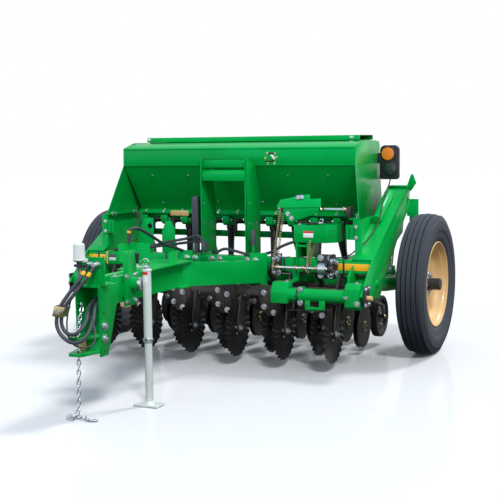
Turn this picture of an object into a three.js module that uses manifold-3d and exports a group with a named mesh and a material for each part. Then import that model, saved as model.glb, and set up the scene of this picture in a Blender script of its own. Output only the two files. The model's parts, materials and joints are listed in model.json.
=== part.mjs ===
// Compact pull-type seed drill: 11 rows, end wheels, and a hopper on a mast between two sloping end towers.
// Millimetres, +Z up, travel towards -Y. Names say left for -X and right for +X, as seen from in front.
import * as THREE from 'three';
import Module from 'manifold-3d';

// rows, and the widths that follow from them
const rowPitch = 190.5;
const rowCount = 11;
const rowSpan = ((rowCount - 1) / 2) * rowPitch;   // middle row to end row
const towerIn = rowSpan + 98.5;
const towerOut = towerIn + 160;
const towerWall = 12;
const toolbarHalf = towerOut - 12.3;
const boxHalf = rowSpan + 38.5;
const lidHalf = boxHalf - 60;
const yCentre = -193;          // middle of the machine's length, taken off when a node is stored
const fit = 0.3;               // air left where two pieces touch

// frame bars
const tubeSide = 100;
const toolbarY = 180;
const toolbarZ = 747;
const gangSide = 70;
const openerBar = { y: 455, z: 600, height: 80, depth: 70 };

// running gear
const wheelY = 908;
const wheelR = 545;
const wheelHalfWidth = 110;
const wheelX = towerOut + 72 + wheelHalfWidth;
const rimR = 329.4;
const pivot = { y: 215, z: 625, r: 25 };
const cylTop = { y: 1000, z: 1205, r: 16 };
const cylEye = { y: 800, z: wheelR + 100, r: 26 };
const armIn = towerIn + 50;
const armOut = towerOut - 50;
const lugThick = 9;

// hopper
const sheet = 3;
const boxFrontY = 366;
const boxRearY = 958;
const boxBottomZ = 1108;
const bandZ0 = 1478;
const bandZ1 = 1612;
const boxTopZ = 1654;
const hatch = { half: lidHalf - 16, y0: 668, y1: 940, wall: 4 };
const lid = { y0: 650, y1: 985, z0: boxTopZ + 10, z1: boxTopZ + 48, skin: 4 };
const mastPlate = { x: 190, thick: 20, z1: 1530 };

// ground work
const blade = { r: 216, z: 273, frontY: 0, rearY: 238 };
const disc = { r: 165, z: 226, frontY: 644, rearY: 810 };
const press = { r: 168, z: 240, back: 437, half: 30 };

// tongue, hitch and jack
const hitchOut = 87;
const hitchPlate = 12;
const hitchTop = 797;
const hitchHole = { y: -1826, r: 21 };
const beam = { frontY: -1490, bendY: -650, splay: 305, width: 80, wall: 55 };
const lipX = hitchOut - 7;
const jack = { x: hitchOut + 118, y: -1351, pivotZ: 775, flangeX: hitchOut + 63, tubeR: 27, legR: 22 };

const walkboard = { half: 900, y0: 1230, y1: 1480, z: 640 };

const tb = {
  y0: toolbarY - tubeSide / 2,
  y1: toolbarY + tubeSide / 2,
  z0: toolbarZ - tubeSide / 2,
  z1: toolbarZ + tubeSide / 2,
};
const drive = {
  shaftY: tb.y0 + 86, shaftZ: 1158, lowY: tb.y0 - 70, lowZ: 735, coverY: tb.y0 + 20, coverZ: 950, guardY: 216,
};
const sides = [[-1, 'left'], [1, 'right']];
const rows = Array.from({ length: rowCount }, (_, k) => k + 1);
const middleRow = (rowCount + 1) / 2;
const rowX = (i) => (i - middleRow) * rowPitch;
const isFront = (i) => (i - middleRow) % 2 !== 0;
const frontRows = rows.filter(isFront);
const rearRows = rows.filter((i) => !isFront(i));
const rowName = (stem, i) => `${stem}_${String(i).padStart(2, '0')}`;

const wasm = await Module();
wasm.setup();
const { Manifold, Mesh: ManifoldMesh } = wasm;

// materials
function finish(hex, rough = 0.5, metal = 0.1) {
  return new THREE.MeshStandardMaterial({ color: hex, roughness: rough, metalness: metal });
}
const green = finish(0x0b8a3c);
const charcoal = finish(0x2b2727);
const zinc = finish(0xb9bcc4, 0.35, 0.9);
const blackSteel = finish(0x17181a, 0.45, 0.6);
const rubber = finish(0x3a4048, 0.85, 0);
const rimPaint = finish(0xd2b284);
const greyPaint = finish(0xcfd6d4);
const plastic = finish(0x1b1c20, 0.6, 0);

// a closed solid from a three.js geometry: equal corners joined, empty triangles dropped
function weld(geometry) {
  const flat = geometry.index ? geometry.toNonIndexed() : geometry;
  const pos = flat.getAttribute('position').array;
  const seen = new Map();
  const verts = [];
  const corners = [];
  for (let i = 0; i < pos.length; i += 3) {
    const key = [pos[i], pos[i + 1], pos[i + 2]].map((v) => Math.round(v * 1e4)).join();
    if (!seen.has(key)) {
      seen.set(key, verts.length / 3);
      verts.push(pos[i], pos[i + 1], pos[i + 2]);
    }
    corners.push(seen.get(key));
  }
  const tris = [];
  for (let i = 0; i < corners.length; i += 3) {
    const [a, b, c] = corners.slice(i, i + 3);
    if (a !== b && b !== c && a !== c) tris.push(a, b, c);
  }
  return new Manifold(new ManifoldMesh({
    numProp: 3,
    vertProperties: new Float32Array(verts),
    triVerts: new Uint32Array(tris),
  }));
}
const fuse = (...parts) => parts.flat().reduce((a, b) => a.add(b));
const cut = (base, ...tools) => tools.flat().reduce((a, b) => a.subtract(b), base);

function box(x0, x1, y0, y1, z0, z1) {
  const g = new THREE.BoxGeometry(Math.abs(x1 - x0), Math.abs(y1 - y0), Math.abs(z1 - z0));
  g.translate((x0 + x1) / 2, (y0 + y1) / 2, (z0 + z1) / 2);
  return weld(g);
}
// outlines drawn out along one axis: [y, z] pairs along X, [x, z] pairs along Y, [x, y] pairs along Z
function slab(points, depth, turn) {
  const shape = new THREE.Shape(points.map(([u, v]) => new THREE.Vector2(u, v)));
  const g = new THREE.ExtrudeGeometry(shape, { depth, bevelEnabled: false });
  g.applyMatrix4(new THREE.Matrix4().set(...turn, 0, 0, 0, 1));
  return weld(g);
}
function slabX(points, x0, x1) {
  return slab(points, Math.abs(x1 - x0), [0, 0, 1, Math.min(x0, x1), 1, 0, 0, 0, 0, 1, 0, 0]);
}
function slabY(points, y0, y1) {
  const turn = [1, 0, 0, 0, 0, 0, 1, Math.min(y0, y1), 0, -1, 0, 0];
  return slab(points.map(([x, z]) => [x, -z]), Math.abs(y1 - y0), turn);
}
function slabZ(points, z0, z1) {
  return slab(points, z1 - z0, [1, 0, 0, 0, 0, 1, 0, 0, 0, 0, 1, z0]);
}
function rod(a, b, r, sideCount = 12, endR = r) {
  const from = new THREE.Vector3(...a);
  const to = new THREE.Vector3(...b);
  const dir = to.clone().sub(from);
  const g = new THREE.CylinderGeometry(endR, r, dir.length(), sideCount);
  const up = new THREE.Vector3(0, 1, 0);
  g.applyQuaternion(new THREE.Quaternion().setFromUnitVectors(up, dir.normalize()));
  const mid = from.add(to).multiplyScalar(0.5);
  g.translate(mid.x, mid.y, mid.z);
  return weld(g);
}
// eight corners: four of one end, four of the other, both in the same turning order
function hexa(a, b) {
  const p = [...a, ...b].map((c) => new THREE.Vector3(...c));
  const centre = p.reduce((sum, c) => sum.add(c), new THREE.Vector3()).multiplyScalar(1 / 8);
  const normal = p[1].clone().sub(p[0]).cross(p[2].clone().sub(p[0]));
  const outward = normal.dot(p[0].clone().sub(centre)) > 0;
  const quads = [[0, 1, 2, 3], [4, 7, 6, 5], [0, 4, 5, 1], [1, 5, 6, 2], [2, 6, 7, 3], [3, 7, 4, 0]];
  const pos = [];
  for (const [i, j, k, l] of quads) {
    for (const tri of [[i, j, k], [i, k, l]]) {
      if (!outward) tri.reverse();
      for (const corner of tri) pos.push(...p[corner].toArray());
    }
  }
  const g = new THREE.BufferGeometry();
  g.setAttribute('position', new THREE.Float32BufferAttribute(pos, 3));
  return weld(g);
}
const rectAt = (y, x0, x1, z0, z1) => [[x0, y, z0], [x1, y, z0], [x1, y, z1], [x0, y, z1]];
// closed outline of [x, r] pairs turned about an X axis through (y, z)
function turned(outline, x, y, z, sideCount) {
  const area = outline.reduce((sum, [a, r], i) => {
    const [nextA, nextR] = outline[(i + 1) % outline.length];
    return sum + a * nextR - nextA * r;
  }, 0);
  const ordered = area < 0 ? outline : [...outline].reverse();
  const pts = [...ordered, ordered[0]].map(([a, r]) => new THREE.Vector2(r, a));
  const g = new THREE.LatheGeometry(pts, sideCount);
  g.rotateZ(-Math.PI / 2);
  g.translate(x, y, z);
  return weld(g);
}
// round bar along a bent line, ends square
function hose(points, r, sideCount, steps) {
  const path = new THREE.CatmullRomCurve3(points.map((p) => new THREE.Vector3(...p)), false, 'centripetal');
  const corners = Array.from({ length: sideCount }, (_, i) => {
    const turn = (i / sideCount) * 2 * Math.PI;
    return new THREE.Vector2(r * Math.cos(turn), r * Math.sin(turn));
  });
  const options = { steps, extrudePath: path, bevelEnabled: false };
  return weld(new THREE.ExtrudeGeometry(new THREE.Shape(corners), options));
}

const group = new THREE.Group();
group.name = 'seed_drill';
function put(name, solid, material) {
  const m = solid.getMesh();
  const pos = [];
  for (let i = 0; i < m.vertProperties.length; i += m.numProp) pos.push(...m.vertProperties.slice(i, i + 3));
  const g = new THREE.BufferGeometry();
  g.setAttribute('position', new THREE.Float32BufferAttribute(pos, 3));
  g.setIndex(Array.from(m.triVerts));
  g.translate(0, -yCentre, 0);
  g.computeVertexNormals();
  const node = new THREE.Mesh(g, material);
  node.name = name;
  group.add(node);
}

// end towers: two side plates, a sloping face, a post under the hopper, pins for the arm and its cylinder
const towerTop = 1298;
const shelfZ = 1087.4;         // underside of the hopper's end flange
function towerSheets(s) {
  const outer = [
    [-150, 577], [100, 525], [285, 515], [395, 634], [546, 763], [624, 812], [718, 895], [864, 944],
    [891, 1031], [1040, 1120], [1072, towerTop], [980, 1290], [120, 803],
  ];
  const inner = [
    [20, 530], [285, 515], [395, 634], [546, 763], [718, 895], [864, 944], [926, 1000], [1060, 1180],
    [1072, towerTop], [980, 1290], [622, shelfZ], [190, shelfZ], [190, tb.z1], [20, 690],
  ];
  const slope = [[125, 798], [140, 798], [985, 1276], [1072, 1284], [1072, towerTop], [980, 1290], [125, 806]];
  return fuse(
    slabX(outer, s * (towerOut - towerWall), s * towerOut),
    slabX(inner, s * towerIn, s * (towerIn + towerWall)),
    slabX(slope, s * towerIn, s * towerOut),
    box(s * towerIn, s * armIn, 190, 198, tb.z1, shelfZ),
    box(s * (towerIn + 1), s * (towerOut - 1), 20, 100, 530, 542),
  );
}
function towerPins(s) {
  const inX = s * (towerIn + 1);
  return fuse(
    rod([inX, pivot.y, pivot.z], [s * (towerOut + 10), pivot.y, pivot.z], pivot.r, 16),
    rod([inX, cylTop.y, cylTop.z], [s * (towerOut + 8), cylTop.y, cylTop.z], cylTop.r, 12),
  );
}
// lashing lug on the top outer corner, and the strap below it
function towerLug(s) {
  const lug = [[-21, 1290], [0, 1270], [11, 1255], [57, 1322], [29, 1392], [15, 1388]];
  return fuse(
    slabY(lug.map(([x, z]) => [s * (towerOut + x), z]), 1040, 1052),
    box(s * (towerIn + 12), s * (towerOut + 4), 960, 1072, 1290, 1304),
    box(s * (towerOut - 12), s * (towerOut + 2), 1030, 1107, 1060, 1170),
    box(s * (towerOut - 12), s * (towerOut + 60), 1095, 1107, 1000, 1192),
  );
}
// round tube under the toolbar with its stop boxes, housing and stub shaft
function crossTube(s) {
  const y = -60;
  const z = 556;
  const outX = towerOut - 24;
  const foot = [[-120, 540], [40, 532], [40, 560], [-120, 600]];
  return fuse(
    rod([s * 560, y, z], [s * (towerOut - 51), y, z], 50, 16),
    box(s * 510, s * 640, y - 52, y + 52, 497, 645),
    box(s * 590, s * 640, -12, 126, 633, 645),
    box(s * 590, s * 640, 112, tb.y0 - fit, 633, 720),
    box(s * (outX - 111), s * outX, y - 52, y + 40, 470, 655),
    rod([s * (outX - 7), y, z], [s * (towerOut + 49), y, z], 16, 12),
    slabX(foot, s * (outX - 111), s * (outX - 97)),
  );
}
function documentTube() {
  const slope = new THREE.Vector3(0, 332, 188).normalize();
  const a = new THREE.Vector3(towerIn + 61, 505, 1062);
  const b = a.clone().addScaledVector(slope, 375);
  return rod(a.toArray(), b.toArray(), 38, 16);
}
function endFrames() {
  for (const [s, side] of sides) {
    const nearEnd = s * (towerIn - 51);
    const farEnd = s * (toolbarHalf + fit);
    const toolbarRoom = box(nearEnd, farEnd, tb.y0 - fit, tb.y1 + fit, tb.z0 - fit, tb.z1 + fit);
    const plates = fuse(towerSheets(s), towerPins(s), towerLug(s));
    const extra = s > 0 ? [documentTube()] : [];
    put(`end_frame_${side}`, fuse(cut(plates, toolbarRoom), crossTube(s), extra), green);
  }
}

function openerBarNode() {
  const y0 = openerBar.y - openerBar.depth / 2;
  const z0 = openerBar.z - openerBar.height / 2;
  const z1 = z0 + openerBar.height;
  const end = towerIn - fit;
  put('opener_bar', fuse(
    box(-end, end, y0, y0 + openerBar.depth, z0, z1),
    [-620, 620].map((x) => box(x - 40, x + 40, tb.y1 + fit, y0 + 1, openerBar.z + 10, tb.z0 + 40)),
    sides.map(([s]) => box(s * (end - 80.7), s * end, y0 - 75, openerBar.y, z0, z1)),
  ), green);
}

// tongue: two bent beams, the bridge, step and hose shelf over them, the jack's mount
function tongueBeams(s) {
  const x0 = s * (hitchOut - hitchPlate - fit - beam.wall);
  const x1 = s * (hitchOut - hitchPlate - fit);
  const bend = rectAt(beam.bendY, x0, x1, 664, 830);
  const wideBend = rectAt(beam.bendY, x0, x1 + 4 * s, 664, 830);
  const rearX = [s * (beam.splay - beam.width / 2), s * (beam.splay + beam.width / 2)];
  return fuse(
    hexa(rectAt(beam.frontY, x0, x1, 668, 832), bend),
    hexa(wideBend, rectAt(tb.y0 - fit, ...rearX, 604, 774)),
    box(s * (beam.splay - 62), s * (beam.splay + 80), tb.y0 - 14, tb.y0 - fit, 560, 830),
    box(x0, x1 + 30 * s, beam.bendY - 60, beam.bendY + 160, 655, 667),
  );
}
function tongue() {
  const padY0 = jack.y - 89;
  const padY1 = jack.y + 41;
  put('tongue', fuse(
    sides.map(([s]) => tongueBeams(s)),
    box(-118, 118, -1180, -560, 829, 840),
    box(40, 60, -770, -680, 838, 915),
    box(-330, -60, -820, -640, 838, 846),
    box(-330, -322, -820, -640, 838, 960),
    box(-330, -180, -648, -640, 838, 960),
    box(hitchOut + fit, hitchOut + 16, padY0, padY1, 640, 985),
    box(hitchOut - 17, hitchOut + 13, padY0, padY1, 700, 780),
    rod([hitchOut + 15, jack.y, jack.pivotZ], [jack.flangeX, jack.y, jack.pivotZ], 44, 18),
  ), green);
}

// hitch channel with two clevis lips, a link lug for the chain, and back plates
function hitch() {
  const side = [
    [-1717, hitchTop], [-1480, hitchTop], [-1480, 690], [-1524, 665], [-1632, 371], [-1709, 371],
  ];
  const lip = [[-lipX, -1640], [-lipX, -1720], [-42, -1866], [42, -1866], [lipX, -1720], [lipX, -1640]];
  const inX = hitchOut - hitchPlate;
  const body = fuse(
    sides.map(([s]) => slabX(side, s * inX, s * hitchOut)),
    box(1 - hitchOut, hitchOut - 1, -1540, -1528, 667.6, hitchTop - 2),
    hexa(rectAt(-1540, -lipX, lipX, 667.6, 690), rectAt(-1640, -lipX, lipX, 385, 410)),
    slabZ(lip, 492, 512),
    slabZ(lip, 395, 415),
    box(-lipX, lipX, -1715, -1640, 395, 512),
    box(-inX - 1, -40, -1712, -1688, 684, 696),
    box(-hitchOut, hitchOut, -1717, -1490 - fit, hitchTop - 4, hitchTop + 8),
  );
  const pinHole = rod([0, hitchHole.y, 380], [0, hitchHole.y, 530], hitchHole.r, 16);
  put('hitch', cut(body, pinHole), green);
}

// holder for two hoses and the lamp plug
function hoseHolder() {
  const hoseX = [32, 79];
  const seatZ = hitchTop + 8.3;
  const holes = hoseX.map((x) => rod([x, -1720, 935], [x, -1680, 935], 17));
  put('hose_holder', fuse(
    cut(box(-23, 119, -1704, -1696, seatZ, 978), holes),
    box(-23, 119, -1704, -1640, seatZ, seatZ + 7.7),
    box(-30, -15, -1790, -1696, 955, 965),
    box(-30, 20, -1800, -1760, 955, 965),
    rod([-2, -1787, 964], [-2, -1787, 1058], 33, 14),
    rod([-2, -1787, 1056], [-2, -1787, 1066], 27, 14),
  ), green);
}

// crank jack that swivels on a round flange at the tongue's side
function jackNodes() {
  const { x, y, pivotZ, flangeX, tubeR, legR } = jack;
  const tube = fuse(
    rod([x, y, 405], [x, y, 860], tubeR, 16),
    rod([x, y, 858], [x, y, 872], tubeR + 4, 16),
    rod([flangeX + 5.5, y, pivotZ], [x, y, pivotZ], 44, 18),
    rod([flangeX + fit, y, pivotZ], [flangeX + 6, y, pivotZ], 20, 12),
    rod([x, y, 845], [flangeX, y, 845], 8, 8),
    box(flangeX - 4, flangeX + 4, y - 26, y + 8, 840, 905),
    rod([flangeX, y - 18, 900], [flangeX - 3, y - 18, 975], 9, 8),
  );
  put('jack_tube', cut(tube, rod([x, y, 300], [x, y, 840], legR + 1, 16)), greyPaint);
  put('jack_leg', fuse(
    rod([x, y, 5], [x, y, 530], legR, 16),
    box(x - 85, x + 85, y - 62, y + 62, 0, 6),
    box(x - 85, x + 85, y - 62, y - 56, 0, 16),
  ), zinc);
}

// hopper: folded sheet with a funnel below, a coaming round its hatch and a lip for the seed meters
function seedBox() {
  const topZ = boxTopZ;
  const out = [
    [boxFrontY, bandZ0], [boxFrontY, bandZ1], [boxFrontY + 10, bandZ1 + 9], [538, topZ],
    [boxRearY, topZ], [boxRearY, 1300], [760, boxBottomZ], [648, boxBottomZ],
  ];
  const inside = [
    [boxFrontY + sheet, bandZ0 + 1], [boxFrontY + sheet, bandZ1 - 1], [boxFrontY + 12, bandZ1 + 5],
    [539, topZ - sheet], [boxRearY - sheet, topZ - sheet], [boxRearY - sheet, 1301],
    [759, boxBottomZ + sheet], [650, boxBottomZ + sheet],
  ];
  const room = slabX(inside, sheet - boxHalf, boxHalf - sheet);
  const { half, y0, y1, wall } = hatch;
  const hole = box(-half, half, y0, y1, topZ - 54, topZ + 46);
  const coaming = box(-half - wall, half + wall, y0 - wall, y1 + wall, topZ - 2, lid.z0 - fit);
  put('seed_box', fuse(
    cut(slabX(out, -boxHalf, boxHalf), room, hole),
    box(-boxHalf, boxHalf, 600, 652, boxBottomZ - 6, boxBottomZ + 2),
    box(-boxHalf, boxHalf, 600, 604, boxBottomZ - 30, boxBottomZ + 2),
    cut(coaming, hole),
  ), green);
}

// end panels: a flat top, a skirt that flares out to a flange, and a hole plate at the front
function endPanels() {
  const panelX = boxHalf + 4;
  const skinX = panelX - 3.7;
  const frontX = boxHalf + 83;
  const rearX = boxHalf + 39;
  const skirtWall = 6;
  const brow = boxTopZ + 6;
  const top = [[370, 1616], [538, brow], [857, brow], [962, boxTopZ - 24], [962, 1470], [boxFrontY, 1470]];
  for (const [s, side] of sides) {
    const at = (x, y, z) => [s * x, y, z];
    const upper = [
      at(panelX, boxFrontY, bandZ0), at(skinX, boxFrontY, bandZ0),
      at(skinX, 962, bandZ0), at(panelX, 962, bandZ0),
    ];
    const lower = [
      at(frontX, 224, 1096), at(frontX - skirtWall, 224, 1096),
      at(rearX - skirtWall, 926, 1096), at(rearX, 926, 1096),
    ];
    const flange = [
      [s * (boxHalf + 19), 224], [s * (frontX - 2), 224], [s * (rearX - 1), 926], [s * (boxHalf + 19), 926],
    ];
    put(`end_panel_${side}`, fuse(
      slabX(top, s * panelX, s * skinX),
      hexa(upper, lower),
      slabZ(flange, 1088, 1097),
      box(s * (boxHalf + 19), s * (boxHalf + 73), 180, 224.5, 1088, 1097),
      box(s * (boxHalf - 6), s * (boxHalf + 84), 180, 189.7, 943, 1050),
      box(s * (boxHalf + 49), s * (boxHalf + 73), 180, 189.7, 1045, 1097),
    ), green);
  }
}

// lid: a sheet stiffened by a bar along the front and a fold along the back
function lidNode() {
  const { y0, y1, z0, z1, skin } = lid;
  put('lid', fuse(
    box(-lidHalf, lidHalf, y0, y1, z1 - skin, z1),
    box(-lidHalf, lidHalf, y0, y0 + 28, z0, z1 - 2),
    box(-lidHalf, lidHalf, y1 - 5, y1, z0, z1 - 2),
  ), green);
}

// mast: two uprights on feet, joined across the top
function mast() {
  const { x, thick, z1 } = mastPlate;
  const footZ = tb.z1 + fit;
  const backY = boxFrontY - 0.4;
  put('mast', fuse(
    sides.map(([s]) => fuse(
      box(s * (x - thick / 2), s * (x + thick / 2), 180, backY, footZ, z1),
      box(s * (x - 40), s * (x + 40), 180, 230, footZ, footZ + 13.7),
    )),
    box(-x, x, 180, 190, z1 - 73, z1),
    box(-x, x, 180, 290, z1 - 96, z1 - 88),
    box(-x, x, 180, 188, z1 - 165, z1 - 70),
  ), green);
}

// coulters: a carrying bar for each rank, hangers up to the toolbar, shank plates and spindles
function coulterRank(list, bladeY) {
  const y0 = bladeY + 35;
  const y1 = y0 + gangSide;
  const barZ = 520;
  const end = towerIn - 6;
  const shank = [
    [-38, 262], [-20, 235], [25, 235], [52, 300], [104, 480], [104, 560], [40, 560], [6, 500], [-40, 330],
  ].map(([y, z]) => [y + bladeY, z]);
  const hanger = [[y0, 560], [y1, 560], [tb.y1, tb.z0 - fit], [tb.y0, tb.z0 - fit]];
  const stations = list.map((i) => {
    const x = rowX(i);
    return fuse(
      slabX(shank, x + 14, x + 24),
      rod([x - 14, bladeY, blade.z], [x + 20, bladeY, blade.z], 19, 8),
      slabX(hanger, x - 8, x + 8),
    );
  });
  return fuse(box(-end, end, y0, y1, barZ, barZ + gangSide), stations);
}
function coulterGang() {
  const spine = rowSpan + 17.5;
  put('coulter_gang', fuse(
    coulterRank(frontRows, blade.frontY),
    coulterRank(rearRows, blade.rearY),
    box(-spine, spine, 150, 210, 684, tb.z0 - fit),
  ), charcoal);
}
// one wavy disc: the rim swings from side to side, the hub is flat
function waveBlade() {
  const count = 16;
  const pos = [];
  const ring = (k, side, r, half, wave) => {
    const turn = ((k % count) / count) * 2 * Math.PI;
    return [(k % 2 ? wave : -wave) + side * half, r * Math.cos(turn), r * Math.sin(turn)];
  };
  const rim = (k, side) => ring(k, side, blade.r, 2.2, 5);
  const bore = (k, side) => ring(k, side, 20, 9, 0);
  const quad = (a, b, c, d) => pos.push(...a, ...b, ...c, ...a, ...c, ...d);
  for (let k = 0; k < count; k++) {
    quad(bore(k, 1), rim(k, 1), rim(k + 1, 1), bore(k + 1, 1));
    quad(bore(k + 1, -1), rim(k + 1, -1), rim(k, -1), bore(k, -1));
    quad(rim(k, -1), rim(k + 1, -1), rim(k + 1, 1), rim(k, 1));
    quad(bore(k + 1, -1), bore(k, -1), bore(k, 1), bore(k + 1, 1));
  }
  const g = new THREE.BufferGeometry();
  g.setAttribute('position', new THREE.Float32BufferAttribute(pos, 3));
  return g;
}
function coulterBlades() {
  for (const i of rows) {
    const y = isFront(i) ? blade.frontY : blade.rearY;
    const g = waveBlade();
    g.translate(rowX(i), y, blade.z);
    put(rowName('coulter_blade', i), weld(g), blackSteel);
  }
}

// openers: arm, body, disc pair and press wheel bracket; every other row sits further back
function openerRank(list, discY) {
  const barBack = openerBar.y + openerBar.depth / 2 + fit;
  const pressY = discY + press.back;
  const arm = [
    [barBack, 650], [discY - 60, 470], [discY + 70, 440], [discY + 70, 400], [discY - 60, 400], [barBack, 570],
  ];
  const boot = [[discY - 30, 405], [discY + 70, 405], [discY + 30, 210], [discY - 20, 210]];
  const bracket = [
    [discY + 20, 438], [discY + 20, 402], [pressY - 60, 330], [pressY - 22, 220], [pressY + 22, 220],
    [pressY, 330], [discY + 80, 438],
  ];
  const stations = list.map((i) => {
    const x = rowX(i);
    const armX = x + press.half + 6;
    return fuse(
      slabX(arm, x - 24, x + 24),
      slabX(boot, x - 7, x + 7),
      rod([x - 16, discY, disc.z], [x + 16, discY, disc.z], 26, 8),
      [-1, 1].map((t) => rod([x + t * 15, discY, disc.z], [x + t * 19, discY, disc.z], disc.r, 12)),
      slabX(bracket, armX, armX + 9),
      box(x + 20, armX + 9, discY + 20, discY + 50, 405, 435),
      rod([x - press.half - 8, pressY, press.z], [armX + 1, pressY, press.z], 10.8, 6),
    );
  });
  const clampBar = box(rowX(list[0]) - 25, rowX(list.at(-1)) + 25, barBack, barBack + 12, 620, 645);
  return fuse(stations, clampBar);
}
function openers() {
  put('openers', fuse(openerRank(frontRows, disc.frontY), openerRank(rearRows, disc.rearY)), green);
}
function pressWheels() {
  const { half, r } = press;
  const halfSection = [[half, r], [half, r - 36], [7, r - 44], [20, 11.6]];
  const outline = [...halfSection.map(([x, rr]) => [-x, rr]), ...[...halfSection].reverse()];
  for (const i of rows) {
    const y = (isFront(i) ? disc.frontY : disc.rearY) + press.back;
    put(rowName('press_wheel', i), turned(outline, rowX(i), y, press.z, 14), rubber);
  }
}

// seed meters under the hopper and a seed tube down to each opener
function seedMeters() {
  const end = boxHalf + 9;
  const stations = rows.map((i) => {
    const x = rowX(i);
    const bootY = (isFront(i) ? disc.frontY : disc.rearY) + 46;
    const tube = [
      [x, 700, 995], [x, 705, 900], [x, (705 + bootY) / 2, 760], [x, bootY, 620], [x, bootY, 520 + fit],
    ];
    return fuse(box(x - 45, x + 45, 640, 760, 985, 1045), hose(tube, 17, 5, 4));
  });
  put('seed_meters', fuse(box(-end, end, 660, 748, 1040, boxBottomZ - fit), stations), plastic);
}

// drive: a shield before the shaft, a gear cover on a stand, two chains and two shafts
function driveGuards() {
  const footZ = tb.z1 + fit;
  const faceY = drive.guardY;
  const rib = [[262, 1280], [415, 1280], [425, 1370], [415, 1380], [262, 1300]];
  put('drive_guards', fuse(
    box(400, 752, 262, 270, 1049, 1292),
    box(400, 408, 262, 500, 1049, 1292),
    slabX(rib, 560, 568),
    box(400, 752, 262, 330, 1049, 1057),
    box(547, 857, faceY, 330, 912, 1039),
    box(582, 709, 200, faceY + 0.5, footZ, 1000),
    box(582, 709, 200, 228, footZ, footZ + 11.7),
    [595, 686].map((x) => box(x, x + 10, faceY, 300, footZ, 915)),
    box(600, 690, 300, 330, 1035, 1050),
  ), green);
}
// two straight strands between two sprockets
function chainLoop(x, ya, za, ra, yb, zb, rb) {
  const dy = yb - ya;
  const dz = zb - za;
  const length = Math.hypot(dy, dz);
  const off = (y, z, r, k) => [y - (dz / length) * r * k, z + (dy / length) * r * k];
  const strand = (k) => slabX([
    off(ya, za, ra - 6, k), off(yb, zb, rb - 6, k), off(yb, zb, rb + 6, k), off(ya, za, ra + 6, k),
  ], x - 7, x + 7);
  return fuse(
    strand(1),
    strand(-1),
    rod([x - 8, ya, za], [x + 8, ya, za], ra + 5, 14),
    rod([x - 8, yb, zb], [x + 8, yb, zb], rb + 5, 14),
  );
}
function driveTrain() {
  const { shaftY, shaftZ, lowY, lowZ, coverY, coverZ, guardY } = drive;
  const plateY = tb.y0 - fit;
  put('drive_train', fuse(
    rod([440, shaftY, shaftZ], [1008, shaftY, shaftZ], 12, 10),
    rod([760, shaftY, shaftZ], [786, shaftY, shaftZ], 22, 10),
    rod([445, lowY, lowZ], [925, lowY, lowZ], 13, 10),
    rod([822, lowY, lowZ], [880, lowY, lowZ], 42, 14),
    chainLoop(470, lowY, lowZ, 34, shaftY, shaftZ, 30),
    chainLoop(735, lowY, lowZ, 30, coverY, coverZ, 26),
    rod([735, coverY, coverZ], [765, coverY, coverZ], 12, 8),
    box(757, 765, coverY - 10, guardY - fit, 940, 960),
    [452, 905].map((x) => fuse(
      box(x, x + 12, 36, plateY, 675, 839),
      box(x - 20, x + 35, plateY - 11.7, plateY, 690, 796),
    )),
    box(985, 1009, 190, 290, 1098, 1180),
  ), zinc);
}

// lift arm with its stub axle and the two lugs that hold the cylinder's eye
function wheelArm(s, side) {
  const web = [
    [pivot.y, pivot.z - 44], [pivot.y, pivot.z + 44], [560, wheelR + 95], [850, wheelR + 67],
    [wheelY + 50, wheelR + 45], [wheelY + 62, wheelR], [wheelY + 32, wheelR - 45],
    [wheelY - 28, wheelR - 55], [560, wheelR - 25],
  ];
  const lug = [[-68, -45], [-30, 45], [30, 45], [66, -45]].map(([y, z]) => [cylEye.y + y, cylEye.z + z]);
  const across = (x0, x1, at, r, n) => rod([s * x0, at.y, at.z], [s * x1, at.y, at.z], r, n);
  const axle = { y: wheelY, z: wheelR };
  const body = fuse(
    across(towerIn + 18, towerOut - 18, pivot, 46, 18),
    slabX(web, s * armIn, s * armOut),
    slabX(lug, s * armIn, s * (armIn + lugThick)),
    slabX(lug, s * (armOut - lugThick), s * armOut),
    across(armIn - 8, armIn + 1, cylEye, 20, 6),
    across(armOut - 1, armOut + 8, cylEye, 20, 6),
    across(armOut - 1, wheelX - 93, axle, 40, 16),
    across(wheelX - 103, wheelX + 109, axle, 28.2, 14),
    across(wheelX + 65, wheelX + 77, axle, 42, 14),
  );
  const bore = across(towerIn - 11, towerOut + 19, pivot, pivot.r + 0.9, 16);
  const eyeRoom = box(
    s * (armIn + lugThick), s * (armOut - lugThick),
    cylEye.y - 72, cylEye.y + 70, cylEye.z - 42, cylEye.z + 75,
  );
  put(`wheel_arm_${side}`, cut(body, bore, eyeRoom), green);
}
function endWheel(s, side) {
  const bead = rimR + 0.6;
  const half = [
    [45, wheelR], [80, wheelR - 8], [wheelHalfWidth, wheelR - 85], [wheelHalfWidth - 10, bead + 42], [78, bead],
  ];
  const tyre = [...[...half].reverse().map(([x, r]) => [-x, r]), ...half];
  put(`tyre_${side}`, turned(tyre, s * wheelX, wheelY, wheelR, 28), rubber);
  const dish = [
    [-84, rimR], [84, rimR], [84, rimR - 13.4], [56, 290], [40, 110], [56, 86], [56, 29], [-40, 29],
    [-40, 60], [26, 96], [38, 290], [-84, rimR - 13.4],
  ].map(([x, r]) => [s * x, r]);
  put(`rim_${side}`, turned(dish, s * wheelX, wheelY, wheelR, 28), rimPaint);
}
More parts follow.
